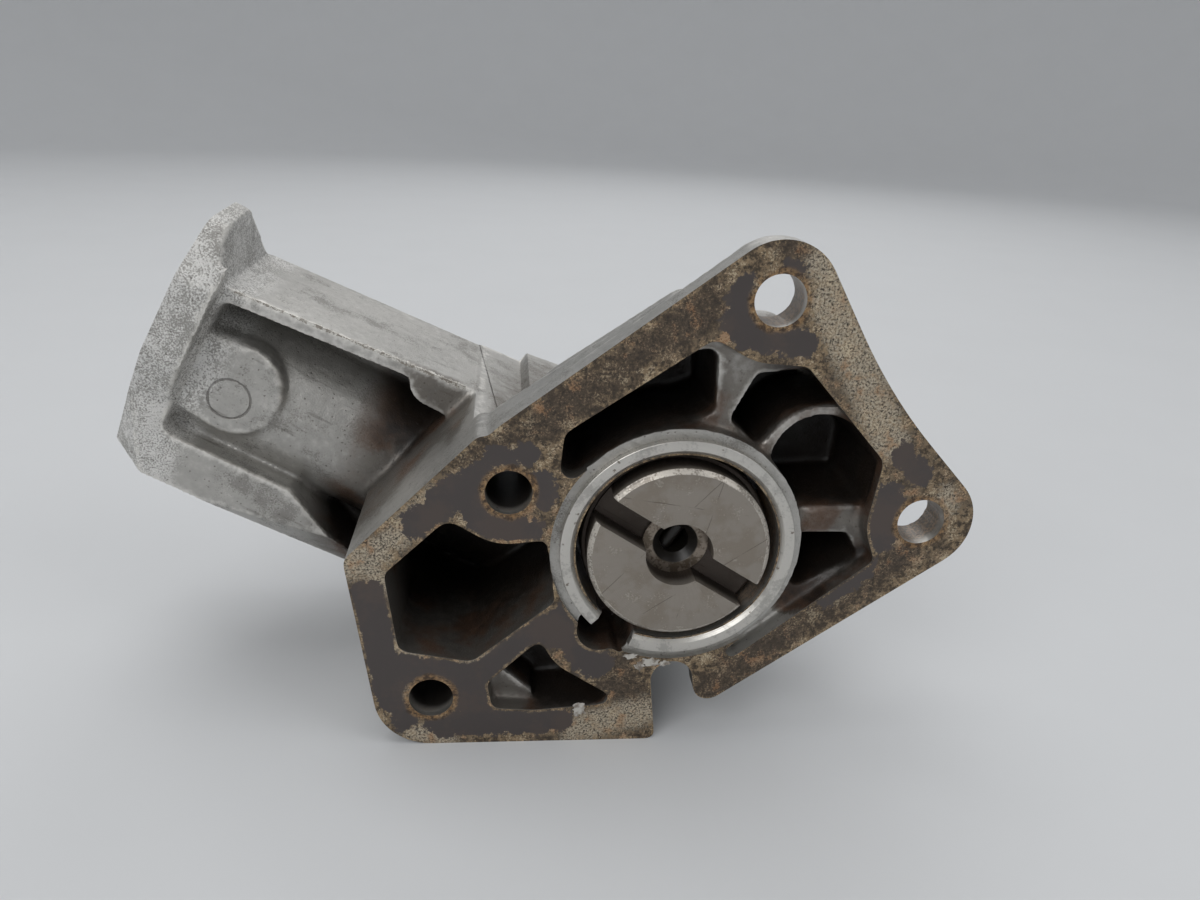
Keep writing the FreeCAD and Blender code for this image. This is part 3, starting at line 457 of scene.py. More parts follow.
def machined_paint(name="machined_aluminium", tone=1.0, darken_deep=False):
    """Turned metal with fine rings about the Y axis, nicks and stains; darker to black deeper in the
    left holes.
    """
    nick_brown, rust_dark, rust_pale = (0.10, 0.07, 0.045), (0.05, 0.03, 0.018), (0.24, 0.15, 0.08)
    deep_black_start, deep_black_end = -15.0, -22.0
    tint = colours()
    paint = Paint(name)
    turned = (span(paint.x, paint.z) * 26.0).math("SINE") * 0.5 + 0.5
    fine, blotch = paint.noise(0.5, 5), paint.noise(5.0, 4)
    bright = tuple(min(1.0, c * tone) for c in tint.machined)
    dull = tuple(c * 0.55 * tone for c in tint.machined)
    colour = paint.mix((blotch + (fine - 0.5) * 0.5).between(0.50, 0.66) * 0.55, bright, dull)
    nick = (paint.specks(2.4) + (fine - 0.5) * 0.7).between(0.12, 0.04) * 0.7
    colour = paint.mix(nick, colour, nick_brown)
    rough = 0.34 + turned * 0.05 + (blotch - 0.5) * 0.2
    metal = 0.85
    if darken_deep:
        # Near black more than about 3 mm into the holes left of x = -15 mm, with rust nearer the face
        deep_black = paint.y.between(0.2, 3.5) * paint.x.between(deep_black_start, deep_black_end)
        rust = (paint.y + (blotch - 0.5) * 4.0).between(0.4, 2.4) * (1 - deep_black) * 0.75
        colour = paint.mix(rust, colour, paint.mix(fine.between(0.4, 0.6), rust_dark, rust_pale))
        colour = paint.mix(deep_black * 0.97, colour, tint.oil)
        metal = (0.85 - deep_black * 0.7 - rust * 0.7).clamped()
    relief = turned * 0.25 + fine * 0.3 - nick
    return paint.finish(colour, rough.clamped(), metal, relief, 0.3, 0.0001)


def steel_paint():
    """The coupling: warm grey turned steel with scratches, smudges, painted shade with oil behind the
    disc's face and down the slot, and a worn bright rim.
    """
    smudge_brown, rubbed_grey, rim_bright = (0.225, 0.19, 0.15), (0.46, 0.43, 0.38), (0.62, 0.58, 0.52)
    scratch_dark, slot_oil_and_shade_brown = (0.09, 0.07, 0.055), (0.035, 0.025, 0.02)
    scratches = [(0.84, -5.1), (0.62, 6.6), (-0.55, 1.5), (1.35, 3.4), (-0.15, -9.8)]
    face_edge = (sizes().disc_radius - sizes().disc_bevel) / MM
    tint = colours()
    paint = Paint("coupling_steel")
    radius = span(paint.x, paint.z)
    rings = (radius * 17.0 + paint.noise(3.0) * 1.5).math("SINE") * 0.5 + 0.5
    fine, blotch, clouds = paint.noise(0.4, 5), paint.noise(2.6, 5), paint.noise(8.0, 3)
    smudge = (clouds + (blotch - 0.5) * 0.6).between(0.42, 0.62) * 0.55
    colour = paint.mix(smudge, tint.steel, smudge_brown)
    pale = (blotch + (fine - 0.5) * 0.8).between(0.62, 0.74) * 0.5
    colour = paint.mix(pale, colour, rubbed_grey)
    scratch = None
    for angle, offset in scratches:
        line = paint.x * math.sin(angle) - paint.z * math.cos(angle) - offset
        wavy = abs(line + (blotch - 0.5) * 0.25)
        scratch = wavy if scratch is None else scratch.least(wavy)
    scratch = scratch.between(0.11, 0.04) * paint.noise(6.0).between(0.42, 0.52) * 0.55
    colour = paint.mix(scratch, colour, scratch_dark)
    # Painted shade, partly oil: darker brown the further a point lies behind the disc's face, down the
    # slot and on the drum
    deep = (paint.y + (blotch - 0.5) * 0.8).between(-1.7, 1.2)
    colour = paint.mix(deep * 0.9, colour, slot_oil_and_shade_brown)
    rim = (radius + (blotch - 0.5) * 0.5).between(face_edge - 0.15, face_edge + 0.05)
    rim = rim * paint.y.between(-0.9, -1.1) * (blotch + (fine - 0.5)).between(0.36, 0.56)
    colour = paint.mix(rim * 0.85, colour, rim_bright)
    rough = 0.40 + rings * 0.05 + (blotch - 0.5) * 0.22 + deep * 0.05
    relief = rings * 0.22 + fine * 0.35 - scratch * 1.2
    return paint.finish(colour, rough.clamped(), 0.72, relief, 0.35, 0.00012)


def oiled_paint(name, base):
    """Oily machined metal for the pieces inside the housing."""
    paint = Paint(name)
    fine, blotch = paint.noise(0.6, 4), paint.noise(4.0, 4)
    dark = tuple(c * 0.45 for c in base)
    colour = paint.mix((blotch + (fine - 0.5) * 0.5).between(0.4, 0.65), base, dark)
    rough = 0.30 + (blotch - 0.5) * 0.25
    return paint.finish(colour, rough.clamped(), 0.8, fine * 0.4 + blotch * 0.3, 0.3, 0.0001)


def shaft_paint():
    """The drive shaft: worn steel on its nose and near black down its bore."""
    worn_steel, oily_steel, bore_black = (0.26, 0.22, 0.18), (0.12, 0.095, 0.07), (0.012, 0.010, 0.008)
    paint = Paint("drive_shaft_steel")
    fine, blotch = paint.noise(0.5, 5), paint.noise(2.0, 4)
    # Near black within about 4 mm of the axis
    bore = (span(paint.x, paint.z) + (fine - 0.5) * 0.3).between(4.5, 4.1)
    colour = paint.mix((blotch + (fine - 0.5) * 0.5).between(0.4, 0.6), worn_steel, oily_steel)
    colour = paint.mix(bore, colour, bore_black)
    rough = 0.34 + (blotch - 0.5) * 0.25
    relief = fine * 0.4 + blotch * 0.3
    return paint.finish(colour, rough.clamped(), 0.75 - bore * 0.6, relief, 0.3, 0.0001)


def scrap_paint():
    """Pale torn gasket paper."""
    paper, stained = (0.50, 0.48, 0.44), (0.20, 0.17, 0.14)
    paint = Paint("gasket_scrap")
    fine, blotch = paint.noise(0.4, 5), paint.noise(1.6, 4)
    colour = paint.mix(blotch.between(0.4, 0.62), paper, stained)
    return paint.finish(colour, 0.85, 0.0, fine + blotch, 0.6, 0.0002)


def flash_paint():
    """Torn bright edge of the parting, with dark grit in it."""
    gritty, torn = (0.34, 0.31, 0.27), (0.78, 0.76, 0.71)
    paint = Paint("torn_flash")
    fine, blotch = paint.noise(0.3, 5), paint.noise(1.4, 5)
    colour = paint.mix((blotch + (fine - 0.5) * 0.8).between(0.42, 0.60), gritty, torn)
    return paint.finish(colour, 0.45 + (fine - 0.5) * 0.3, 0.6, fine + blotch, 0.6, 0.0002)


def new_piece(name, mesh, body, material=None):
    """Puts a mesh in the scene as a named piece that rides on a body."""
    piece = bpy.data.objects.new(name, mesh)
    bpy.context.scene.collection.objects.link(piece)
    if material:
        mesh.materials.clear()
        mesh.materials.append(material)
    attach(piece, body)
    return piece


def baked(obj, name):
    """The object's mesh with its modifiers applied, under a new name."""
    bpy.context.view_layer.update()
    evaluated = obj.evaluated_get(bpy.context.evaluated_depsgraph_get())
    mesh = bpy.data.meshes.new_from_object(evaluated)
    mesh.name = name
    return mesh


def scratch_object(mesh):
    """An object that only carries a mesh through its modifiers."""
    obj = bpy.data.objects.new("scratch", mesh)
    bpy.context.scene.collection.objects.link(obj)
    return obj


def drop(obj):
    """Deletes a scratch object and its mesh."""
    mesh = obj.data
    bpy.data.objects.remove(obj)
    bpy.data.meshes.remove(mesh)


def mesh_from(bm, name):
    """A new mesh from a bmesh, which is then freed."""
    mesh = bpy.data.meshes.new(name)
    bm.to_mesh(mesh)
    bm.free()
    return mesh


def bridge(bm, rows, rows_round=False, columns_round=True):
    """Joins rows of vertices with faces, and the last to the first where they go round."""
    for i in range(len(rows) if rows_round else len(rows) - 1):
        near, far = rows[i], rows[(i + 1) % len(rows)]
        for j in range(len(near) if columns_round else len(near) - 1):
            k = (j + 1) % len(near)
            bm.faces.new((near[j], near[k], far[k], far[j]))


def aim(axis):
    """Rotation that takes local z to an axis."""
    return Vector(axis).to_track_quat("Z", "Y").to_matrix().to_4x4()


def bar(radius, length, centre, axis, top_radius=None, sides=128):
    """A closed cylinder or cone about an axis, as a mesh."""
    bm = bmesh.new()
    bmesh.ops.create_cone(
        bm, cap_ends=True, segments=sides, radius1=radius, radius2=top_radius or radius, depth=length,
        matrix=Matrix.Translation(centre) @ aim(axis))
    return mesh_from(bm, "bar")


def block(low, high, turn=None):
    """A closed box between two corners, as a mesh."""
    bm = bmesh.new()
    size, centre = Vector(high) - Vector(low), (Vector(high) + Vector(low)) / 2
    matrix = Matrix.Translation(centre) @ Matrix.Diagonal((*size, 1))
    bmesh.ops.create_cube(bm, size=1, matrix=(turn or Matrix()) @ matrix)
    return mesh_from(bm, "block")


def carve(mesh, cutters):
    """Cuts closed meshes from a mesh, one after another."""
    name = mesh.name
    obj = scratch_object(mesh)
    for cutter in cutters:
        tool = scratch_object(cutter)
        modifier = obj.modifiers.new("cut", "BOOLEAN")
        modifier.solver = "MANIFOLD"
        modifier.object = tool
        modifier.operation = "DIFFERENCE"
        result = baked(obj, name)
        if not result.polygons:
            raise RuntimeError("a cut left nothing of " + name)
        obj.modifiers.clear()
        old, obj.data = obj.data, result
        bpy.data.meshes.remove(old)
        drop(tool)
    result = obj.data
    bpy.data.objects.remove(obj)
    return result


def lathe(profile, start=0.0, turn=2 * math.pi, steps=192):
    """Turns a closed (radius, y) profile about the Y axis, from an angle seen from the front."""
    whole = turn >= 2 * math.pi - 1e-6
    bm = bmesh.new()
    rows = []
    for i in range(steps if whole else steps + 1):
        angle = start + turn * i / steps
        rows.append([bm.verts.new((r * math.cos(angle), y, r * math.sin(angle))) for r, y in profile])
    bridge(bm, rows, rows_round=whole)
    if not whole:
        bm.faces.new(rows[0])
        bm.faces.new(rows[-1])
    bmesh.ops.recalc_face_normals(bm, faces=bm.faces)
    return mesh_from(bm, "turned")


def bevelled(mesh, name, width, segments, limit, sharp, harden=False):
    """The mesh with bevelled corners, shaded smooth up to its sharp edges; angles in degrees."""
    obj = scratch_object(mesh)
    bevel = obj.modifiers.new("edges", "BEVEL")
    bevel.width = width
    bevel.segments = segments
    bevel.limit_method = "ANGLE"
    bevel.angle_limit = math.radians(limit)
    bevel.harden_normals = harden
    result = baked(obj, name)
    drop(obj)
    result.shade_smooth()
    result.set_sharp_from_angle(angle=math.radians(sharp))
    return result


def vertex_array(mesh, name):
    """A vector of each vertex, as an array."""
    values = np.empty(len(mesh.vertices) * 3)
    mesh.vertices.foreach_get(name, values)
    return values.reshape(-1, 3)


def store(mesh, name, values):
    """Stores a number for each vertex, for a material to read."""
    layer = mesh.attributes.new(name, "FLOAT", "POINT")
    layer.data.foreach_set("value", np.asarray(values, np.float32))


def edge_measure(mesh, scale=0.00022, passes=2):
    """How far each vertex stands out of its neighbours, smoothed: 0.5 is flat, 1 a sharp edge."""
    points, normals = vertex_array(mesh, "co"), vertex_array(mesh, "normal")
    pairs = np.empty(len(mesh.edges) * 2, np.int64)
    mesh.edges.foreach_get("vertices", pairs)
    a, b = pairs.reshape(-1, 2).T
    count = np.bincount(a, minlength=len(points)) + np.bincount(b, minlength=len(points)) + 1e-9

    def average(values):
        total = np.zeros_like(values)
        np.add.at(total, a, values[b])
        np.add.at(total, b, values[a])
        return total / (count if values.ndim == 1 else count[:, None])

    bulge = ((points - average(points)) * normals).sum(1)
    for _ in range(passes):
        bulge = (bulge + average(bulge)) / 2
    return np.clip(0.5 + bulge / scale, 0, 1)


def enclosure_measure(mesh, reach=0.030, rays=20, sample=0.0026):
    """How enclosed each vertex is, from 0 in the open to 1 deep in a pocket; the cast paint darkens by
    it as painted shade.
    """
    rough = scratch_object(mesh.copy())
    remesh = rough.modifiers.new("coarse", "REMESH")
    remesh.mode = "VOXEL"
    remesh.voxel_size = sample
    coarse = baked(rough, "coarse")
    tree = BVHTree.FromPolygons([v.co for v in coarse.vertices],
                                [p.vertices[:] for p in coarse.polygons])
    rng = np.random.default_rng(7)
    directions = rng.normal(size=(rays, 3))
    directions /= np.linalg.norm(directions, axis=1)[:, None]
    lookup = KDTree(len(coarse.vertices))
    closed = np.empty(len(coarse.vertices))
    for i, vertex in enumerate(coarse.vertices):
        lookup.insert(vertex.co, i)
        hidden = 0.0
        start = vertex.co + vertex.normal * sample * 0.6
        for direction in directions:
            ray = Vector(direction)
            if ray.dot(vertex.normal) < 0:
                ray = -ray
            distance = tree.ray_cast(start, ray, reach)[3]
            if distance is not None:
                hidden += 1 - distance / reach * 0.6
        closed[i] = hidden / rays
    lookup.balance()
    values = np.empty(len(mesh.vertices))
    for i, vertex in enumerate(mesh.vertices):
        near = lookup.find_n(vertex.co, 3)
        weights = [1 / (distance + 1e-5) for _, _, distance in near]
        values[i] = sum(w * closed[n[1]] for w, n in zip(weights, near)) / sum(weights)
    drop(rough)
    bpy.data.meshes.remove(coarse)
    return values


def grown_casting(stock, reach=0.1 * MM):
    """A copy of the cast node with stock on its machined faces, joined into one clean mesh."""
    mesh = frame["nodes"]["housing_casting"].data.copy()
    bm = bmesh.new()
    bm.from_mesh(mesh)
    bmesh.ops.remove_doubles(bm, verts=bm.verts, dist=1e-6)
    for vertex in bm.verts:
        if vertex.co.y < reach:
            vertex.co.y -= stock
        if vertex.co.dot(branch_axis) > plate_distance - reach:
            vertex.co += branch_axis * stock
    bm.to_mesh(mesh)
    bm.free()
    mesh.materials.clear()
    return mesh


def cast_form(mesh):
    """Turns the grown casting into a fine even mesh and rounds its cast edges."""
    obj = scratch_object(mesh)
    remesh = obj.modifiers.new("skin", "REMESH")
    remesh.mode = "VOXEL"
    remesh.voxel_size = sizes().grain
    soften = obj.modifiers.new("soften", "SMOOTH")
    soften.factor = 0.6
    soften.iterations = sizes().softening
    result = baked(obj, "cast_housing")
    drop(obj)
    return result


def flatten_shoulder(mesh):
    """Lets the branch's top run on over the body's corner, as one smooth cast surface."""
    rim_back, start, end = 0.0124, 0.033, 0.048
    near, far = Vector(sizes().flash_start), Vector(sizes().flash_end)
    fall = (far.y - near.y) / (far.x - near.x)
    shift = socket_centre.dot(across_axis)
    for vertex in mesh.vertices:
        t, w = vertex.co.dot(branch_axis), vertex.co.dot(across_axis)
        level = shift + near.y + fall * (t - near.x)
        if vertex.co.y > rim_back and start < t < end and w > level:
            vertex.co -= across_axis * (w - level)


def machining_cutters():
    """Closed meshes of everything that is cut after casting."""
    deep, hole_room = 0.2, 0.00003
    relief_width, relief_depth, mouth = 0.0018, 0.001, 0.0009
    socket_length = mounts["distributor_socket"]["dims"]["length_mm"] * MM
    far = Vector((deep, 0, deep))
    cutters = [
        block(-far + Vector((0, -deep, 0)), far),
        bar(deep / 2, deep, branch_axis * (plate_distance + deep / 2), branch_axis),
    ]
    for name in BOLT_HOLES:
        x, _, z = mounts[name]["pos_m"]
        radius = mounts[name]["dims"]["r_mm"] * MM + hole_room
        cutters.append(bar(radius, deep, (x, 0, z), (0, 1, 0)))
    relief, front = spigot_radius + relief_width, -0.01
    cutters += [
        bar(bore_radius, 2 * bore_floor, (0, 0, 0), (0, 1, 0), sides=192),
        lathe([(spigot_radius, front), (relief, front), (relief, relief_depth),
               (spigot_radius, relief_depth)]),
        bar(socket_radius, socket_length, socket_centre, branch_axis),
        bar(socket_radius, mouth, socket_centre + branch_axis * (socket_length + mouth) / 2,
            branch_axis, top_radius=socket_radius + mouth),
    ]
    return cutters


def on_flange(centre, normal):
    """Whether a face lies on the machined flange face."""
    return abs(centre.y) < ON_FACE and normal.y < -0.99


def mark_lips(mesh, width, cell=0.001):
    """Cuts the flange face into a fine grid and stores how near each point lies to an edge."""
    bm = bmesh.new()
    bm.from_mesh(mesh)
    lip = bm.verts.layers.float.new("lip")
    faces = [f for f in bm.faces if on_flange(f.calc_center_median(), f.normal)]
    faces = bmesh.ops.triangulate(bm, faces=faces)["faces"]
    inner = set(faces)
    rim = [v.co.copy() for v in {v for f in inner for v in f.verts}
           if any(f not in inner for f in v.link_faces)]
    lookup = KDTree(len(rim))
    for i, place in enumerate(rim):
        lookup.insert(place, i)
    lookup.balance()
    parts = faces + list(dict.fromkeys(e for f in faces for e in f.edges))
    parts += list(dict.fromkeys(v for f in faces for v in f.verts))
    for axis in (0, 2):
        low, high = min(p[axis] for p in rim), max(p[axis] for p in rim)
        for i in range(1, int((high - low) / cell)):
            place, normal = Vector(), Vector()
            place[axis], normal[axis] = low + i * cell, 1.0
            cut = bmesh.ops.bisect_plane(bm, geom=parts, dist=1e-7, plane_co=place, plane_no=normal)
            parts = cut["geom"]
    for vertex in (part for part in parts if isinstance(part, bmesh.types.BMVert)):
        vertex[lip] = max(0.0, 1.0 - lookup.find(vertex.co)[2] / width)
    bm.to_mesh(mesh)
    bm.free()


def paint_casting(mesh):
    """Gives each face of the casting its finish by where it lies."""
    mesh.materials.clear()
    for material in (cast_paint(), flange_paint(), machined_paint(),
                     machined_paint("machined_holes", tone=0.8, darken_deep=True)):
        mesh.materials.append(material)
    cast, flange, plate, bored = range(4)
    bore_skin, hole_reach, sharp = 0.00005, 0.0046, 38
    holes = [Vector(mounts[name]["pos_m"]) for name in BOLT_HOLES]
    for face in mesh.polygons:
        centre = face.center
        if on_flange(centre, face.normal):
            face.material_index = flange
        elif centre.dot(branch_axis) > plate_distance - ON_FACE:
            face.material_index = plate
        elif abs(math.hypot(centre.x, centre.z) - bore_radius) < bore_skin:
            face.material_index = bored
        elif any(math.hypot(centre.x - h.x, centre.z - h.z) < hole_reach for h in holes):
            face.material_index = bored
        else:
            face.material_index = cast
    mesh.shade_smooth()
    mesh.set_sharp_from_angle(angle=math.radians(sharp))


class HOUSING_OT_casting(bpy.types.Operator):
    """Dress the casting: rounded cast edges, crisp machined faces and aged metal"""
    bl_idname = "housing.casting"
    bl_label = "Cast housing"

    def execute(self, context):
        form = cast_form(grown_casting(sizes().stock))
        store(form, "edge", edge_measure(form))
        # How enclosed each point is, which the cast paint turns into painted shade
        store(form, "enclosure", enclosure_measure(form))
        flatten_shoulder(form)
        mesh = carve(form, machining_cutters())
        mark_lips(mesh, sizes().lip)
        paint_casting(mesh)
        piece = new_piece("cast_housing", mesh, "housing")
        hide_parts("housing_casting")
        return {"FINISHED"}


class HOUSING_OT_spigot_ring(bpy.types.Operator):
    """Make the bright spigot ring round the drive bore"""
    bl_idname = "housing.spigot_ring"
    bl_label = "Spigot ring"

    def execute(self, context):
        size = sizes()
        inner, outer, front = bore_radius + 0.00002, spigot_radius, -spigot_height
        nick, root = 0.00012, 0.0012
        profile = [
            (inner, root), (inner, front + size.ring_bevel), (inner + size.ring_bevel, front),
            (outer - nick, front), (outer, front + nick), (outer, root),
        ]
        turn = 2 * math.pi - (size.ring_gap_end - size.ring_gap_start)
        mesh = lathe(profile, size.ring_gap_end, turn, 288)
        mesh = bevelled(mesh, "spigot_ring", width=0.00008, segments=2, limit=25, sharp=30)
        new_piece("spigot_ring", mesh, "housing",
                  machined_paint("spigot_ring_metal", tone=0.98))
        return {"FINISHED"}


class HOUSING_OT_coupling(bpy.types.Operator):
    """Make the slotted drive coupling with its bevelled rim and oil scroll"""
    bl_idname = "housing.coupling"
    bl_label = "Drive coupling"

    def execute(self, context):
        mesh = carve(lathe(self.profile(), steps=256), self.cutters())
        mesh = bevelled(mesh, "slotted_coupling", width=0.00022, segments=3, limit=32, sharp=28,
                        harden=True)
        piece = new_piece("slotted_coupling", mesh, "drive_line", steel_paint())
        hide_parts("drive_coupling")
        return {"FINISHED"}

    def profile(self):
        """Half the section of the disc and the drum, as radius and y."""
        front, back = coupling_low.y, coupling_high.y
        disc, bevel, drum = sizes().disc_radius, sizes().disc_bevel, coupling_high.x
        inner, step, nick = 0.0063, 0.006, 0.0003
        return [
            (inner, back), (inner, front), (disc - bevel, front), (disc, front + bevel),
            (disc, front + step), (drum - nick, front + step), (drum, front + step + nick),
            (drum, back),
        ]

    def cutters(self):
        """The slot across the disc, and the steep oil grooves round the drum."""
        size = sizes()
        turn = Matrix.Rotation(-size.slot_angle, 4, "Y")
        half, reach, front = size.slot_width / 2, 0.03, coupling_low.y
        cutters = [block((-reach, front - 0.01, -half), (reach, front + size.slot_depth, half), turn)]
        count, groove_radius, groove_length, steepness = 9, 0.0011, 0.016, 0.6
        middle_y = (coupling_low.y + coupling_high.y) / 2 + 0.003
        for i in range(count):
            angle = 2 * math.pi * i / count
            x, z = math.cos(angle), math.sin(angle)
            centre = Vector((x * coupling_high.x, middle_y, z * coupling_high.x))
            along = Vector((-z, steepness, x)).normalized()
            cutters.append(bar(groove_radius, groove_length, centre, along, sides=20))
        return cutters


class HOUSING_OT_drive_train(bpy.types.Operator):
    """Give the bushes, washers, gears, pins and shafts their metals"""
    bl_idname = "housing.drive_train"
    bl_label = "Drive train"

    def execute(self, context):
        finishes = {
            "steel": oiled_paint("oiled_steel", (0.30, 0.275, 0.245)),
            "bronze": oiled_paint("oiled_bronze", (0.36, 0.22, 0.09)),
            "spring_steel": oiled_paint("blued_spring_steel", (0.12, 0.12, 0.13)),
        }
        slots = {part["node"]: part["material_slot"] for part in frame["record"]["subparts"]}
        for name, node in frame["nodes"].items():
            if slots[name] in finishes:
                node.data.materials.clear()
                node.data.materials.append(finishes[slots[name]])
        nose = shaft_paint()
        for name in ("drive_shaft", "coupling_pin"):
            frame["nodes"][name].data.materials.clear()
            frame["nodes"][name].data.materials.append(nose)
        return {"FINISHED"}


class HOUSING_OT_gasket_scraps(bpy.types.Operator):
    """Leave the torn scraps of gasket near the drain"""
    bl_idname = "housing.gasket_scraps"
    bl_label = "Gasket scraps"

    def execute(self, context):
        rng = np.random.default_rng(11)
        thickness, ragged, sides = 0.06, 0.32, 22
        # Each scrap's middle in x and z and its half width and height, in millimetres
        scraps = [(-3.4, -24.6, 1.9, 0.9), (-0.6, -25.0, 1.2, 0.6), (-5.6, -25.6, 0.9, 1.0),
                  (-7.4, -23.2, 1.3, 0.6), (-16.9, -35.6, 1.3, 1.5)]
        bm = bmesh.new()
        for x, z, wide, high in scraps:
            rim = []
            for i in range(sides):
                angle = 2 * math.pi * i / sides
                wobble = 1 + rng.uniform(-ragged, ragged)
                place = Vector((x + wide * wobble * math.cos(angle), -thickness,
                                z + high * wobble * math.sin(angle)))
                rim.append(bm.verts.new(place * MM))
            top = bm.faces.new(rim)
            walls = bmesh.ops.extrude_face_region(bm, geom=[top])
            for vertex in (g for g in walls["geom"] if isinstance(g, bmesh.types.BMVert)):
                vertex.co.y = 0.0
        bmesh.ops.recalc_face_normals(bm, faces=bm.faces)
        mesh = mesh_from(bm, "gasket_scraps")
        new_piece("gasket_scraps", mesh, "housing", scrap_paint())
        return {"FINISHED"}


class HOUSING_OT_casting_flash(bpy.types.Operator):
    """Leave the torn flash of the mould's parting along the branch's upper front edge"""
    bl_idname = "housing.casting_flash"
    bl_label = "Casting flash"

    def execute(self, context):
        rng = np.random.default_rng(23)
        start, end = Vector(sizes().flash_start), Vector(sizes().flash_end)
        shift = socket_centre.dot(across_axis)
        web_front, root = socket_centre.y - 0.018, 0.0006
        mean, torn_end, settling, rise = 0.00025, 0.0005, 0.15, 0.00005
        height, lowest, highest, sway_size, ragged = 0.0003, 0.00002, 0.0009, 0.00007, 0.0001
        front = Vector((0, 1, 0))
        out = (across_axis * 0.75 - front * 0.66).normalized()
        steps = 150
        bm = bmesh.new()
        rows = []
        for i in range(steps + 1):
            share = i / steps
            t, w = start.lerp(end, share)
            height += (mean + torn_end * share ** 6 - height) * settling + rng.normal(0, rise)
            height = min(max(height, lowest), highest)
            sway = rng.normal(0, sway_size)
            base = branch_axis * t + across_axis * (shift + w - root) + front * (web_front + root)
            low = base + across_axis * (0.0005 + sway) + front * 0.0009
            side = base - across_axis * 0.0011 - front * (0.0002 + sway)
            crest = base + out * (root + height) + branch_axis * rng.normal(0, ragged)
            rows.append([bm.verts.new(p) for p in (low, crest, side)])
        bridge(bm, rows)
        bm.faces.new(rows[0])
        bm.faces.new(rows[-1])
        bmesh.ops.recalc_face_normals(bm, faces=bm.faces)
        mesh = mesh_from(bm, "casting_flash")
        new_piece("casting_flash", mesh, "housing", flash_paint())
        return {"FINISHED"}


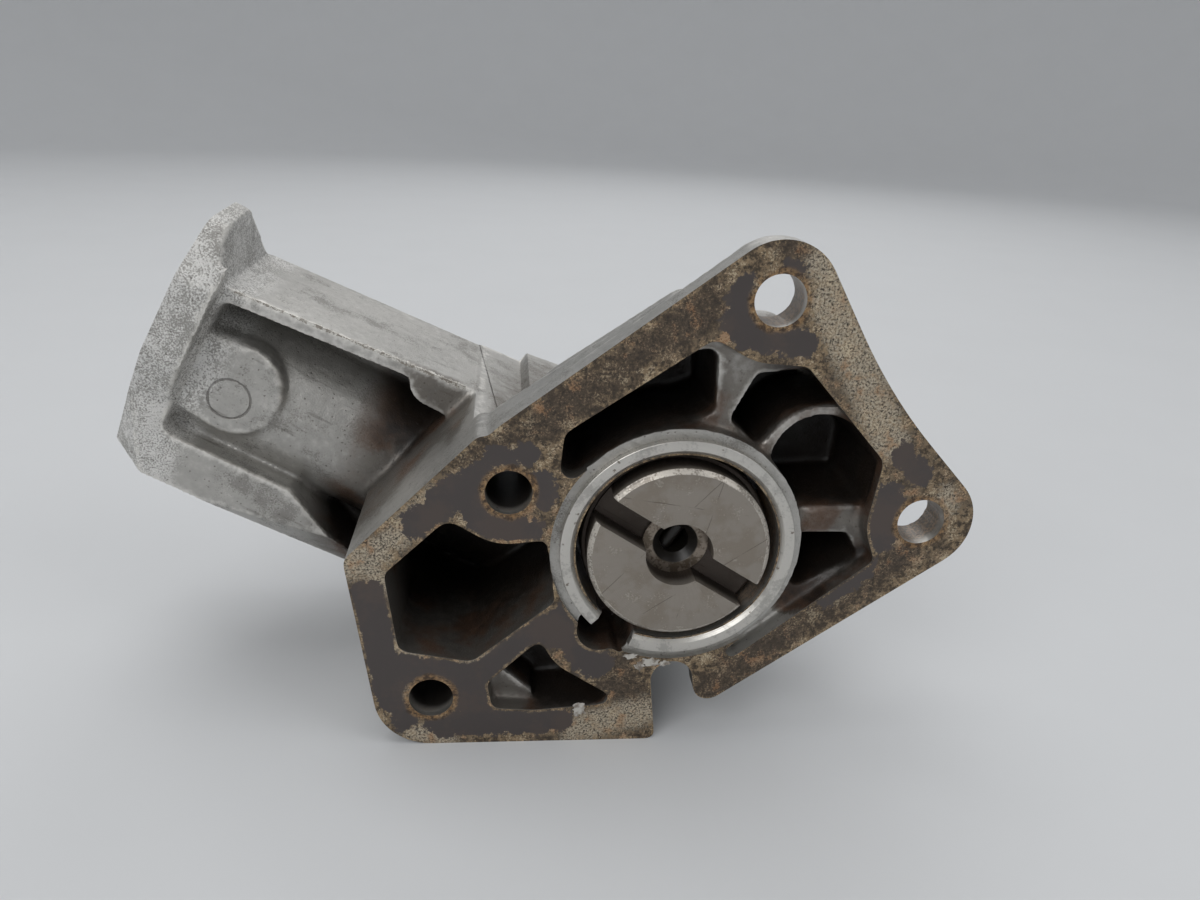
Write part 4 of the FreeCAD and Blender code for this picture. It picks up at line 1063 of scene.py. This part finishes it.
class HOUSING_OT_stage(bpy.types.Operator):
    """Set the pale floor with its swept-up backdrop, the soft lamps and the camera"""
    bl_idname = "housing.stage"
    bl_label = "Stage"

    def execute(self, context):
        self.floor()
        self.lamps()
        self.camera()
        bpy.context.scene.view_settings.view_transform = "Standard"
        return {"FINISHED"}

    def floor(self):
        """A round floor that sweeps up into a wall far behind the part, on all sides."""
        radius, sweep, height, steps, bends = 1.5, 0.7, 2.6, 96, 16
        profile = [(radius * 0.3, 0.0), (radius * 0.7, 0.0)]
        for i in range(bends + 1):
            turn = math.pi / 2 * i / bends
            profile.append((radius + sweep * math.sin(turn), sweep * (1 - math.cos(turn))))
        profile.append((radius + sweep, height))
        bm = bmesh.new()
        centre = bm.verts.new((0, 0, 0))
        rows = [[bm.verts.new((r * math.cos(a), r * math.sin(a), z)) for r, z in profile]
                for a in (2 * math.pi * i / steps for i in range(steps))]
        for i in range(steps):
            bm.faces.new((centre, rows[i][0], rows[(i + 1) % steps][0]))
        bridge(bm, rows, rows_round=True, columns_round=False)
        bmesh.ops.recalc_face_normals(bm, faces=bm.faces)
        mesh = mesh_from(bm, "floor")
        mesh.shade_smooth()
        paint = Paint("pale_floor")
        pale, shade = colours().floor, tuple(c * 0.96 for c in colours().floor)
        mesh.materials.append(paint.finish(paint.mix(paint.noise(60.0, 3), pale, shade), 0.75, 0.0))
        floor = bpy.data.objects.new("floor", mesh)
        floor.location = (0, 0, floor_height)
        bpy.context.scene.collection.objects.link(floor)

    def lamps(self):
        """Large soft lamps turned to the part, by place, width in metres and power, and a pale room."""
        target, room, room_strength = Vector((-0.02, 0.03, 0.0)), (0.97, 0.98, 1.0, 1), 0.5
        for name, place, size, power in (
                ("sky", (-0.35, 0.25, 1.5), 1.1, 7.5),
                ("window", (-0.65, -0.85, 0.75), 0.8, 6.0),
                ("side_window", (0.9, -0.5, 0.9), 0.7, 2.4),
                ("rear_window", (0.25, 0.95, 0.8), 0.8, 2.6)):
            data = bpy.data.lights.new(name, "AREA")
            data.shape = "SQUARE"
            data.size = size
            data.energy = power
            lamp = bpy.data.objects.new(name, data)
            lamp.location = place
            lamp.rotation_euler = (target - Vector(place)).to_track_quat("-Z", "Y").to_euler()
            bpy.context.scene.collection.objects.link(lamp)
        world = bpy.data.worlds.new("room")
        world.use_nodes = True
        background = world.node_tree.nodes["Background"]
        background.inputs["Color"].default_value = room
        background.inputs["Strength"].default_value = room_strength
        bpy.context.scene.world = world

    def camera(self):
        """The camera at the photograph's angle, by its place and its directions right and forward."""
        place = (-0.03241, -0.1458, 0.07846)
        right = Vector((0.9942, -0.0946, 0.0504)).normalized()
        forward = Vector((0.1066, 0.9226, -0.3708)).normalized()
        up = right.cross(forward).normalized()
        right = forward.cross(up).normalized()
        data = bpy.data.cameras.new("camera")
        data.sensor_width = 36.0
        data.lens = 27.0
        data.clip_start = 0.01
        camera = bpy.data.objects.new("camera", data)
        turn = Matrix((right, up, -forward)).transposed().to_4x4()
        camera.matrix_world = Matrix.Translation(place) @ turn
        bpy.context.scene.collection.objects.link(camera)
        bpy.context.scene.camera = camera


OPERATORS = (HOUSING_OT_casting, HOUSING_OT_spigot_ring, HOUSING_OT_coupling,
             HOUSING_OT_drive_train, HOUSING_OT_gasket_scraps, HOUSING_OT_casting_flash,
             HOUSING_OT_stage)


class HOUSING_PT_panel(bpy.types.Panel):
    """Lists the housing's pieces and finishes"""
    bl_idname = "HOUSING_PT_panel"
    bl_label = "Distributor housing"
    bl_space_type = "VIEW_3D"
    bl_region_type = "UI"
    bl_category = "Housing"

    def draw(self, context):
        """A button for each operator, then the sizes and the colours."""
        for operator in OPERATORS:
            self.layout.operator(operator.bl_idname)
        for group in (context.scene.housing_sizes, context.scene.housing_colours):
            box = self.layout.box()
            for name in group.bl_rna.properties.keys():
                if name not in {"rna_type", "name"}:
                    box.prop(group, name)


CLASSES = (HousingSizes, HousingColours, *OPERATORS, HOUSING_PT_panel)


def register():
    for item in CLASSES:
        bpy.utils.register_class(item)
    bpy.types.Scene.housing_sizes = bpy.props.PointerProperty(type=HousingSizes)
    bpy.types.Scene.housing_colours = bpy.props.PointerProperty(type=HousingColours)


def unregister():
    del bpy.types.Scene.housing_colours
    del bpy.types.Scene.housing_sizes
    for item in reversed(CLASSES):
        bpy.utils.unregister_class(item)


def main():
    """Makes every piece and the stage."""
    register()
    bpy.ops.housing.casting()
    bpy.ops.housing.spigot_ring()
    bpy.ops.housing.coupling()
    bpy.ops.housing.drive_train()
    bpy.ops.housing.gasket_scraps()
    bpy.ops.housing.casting_flash()
    bpy.ops.housing.stage()
    bpy.context.view_layer.update()


if __name__ == "__main__":
    main()
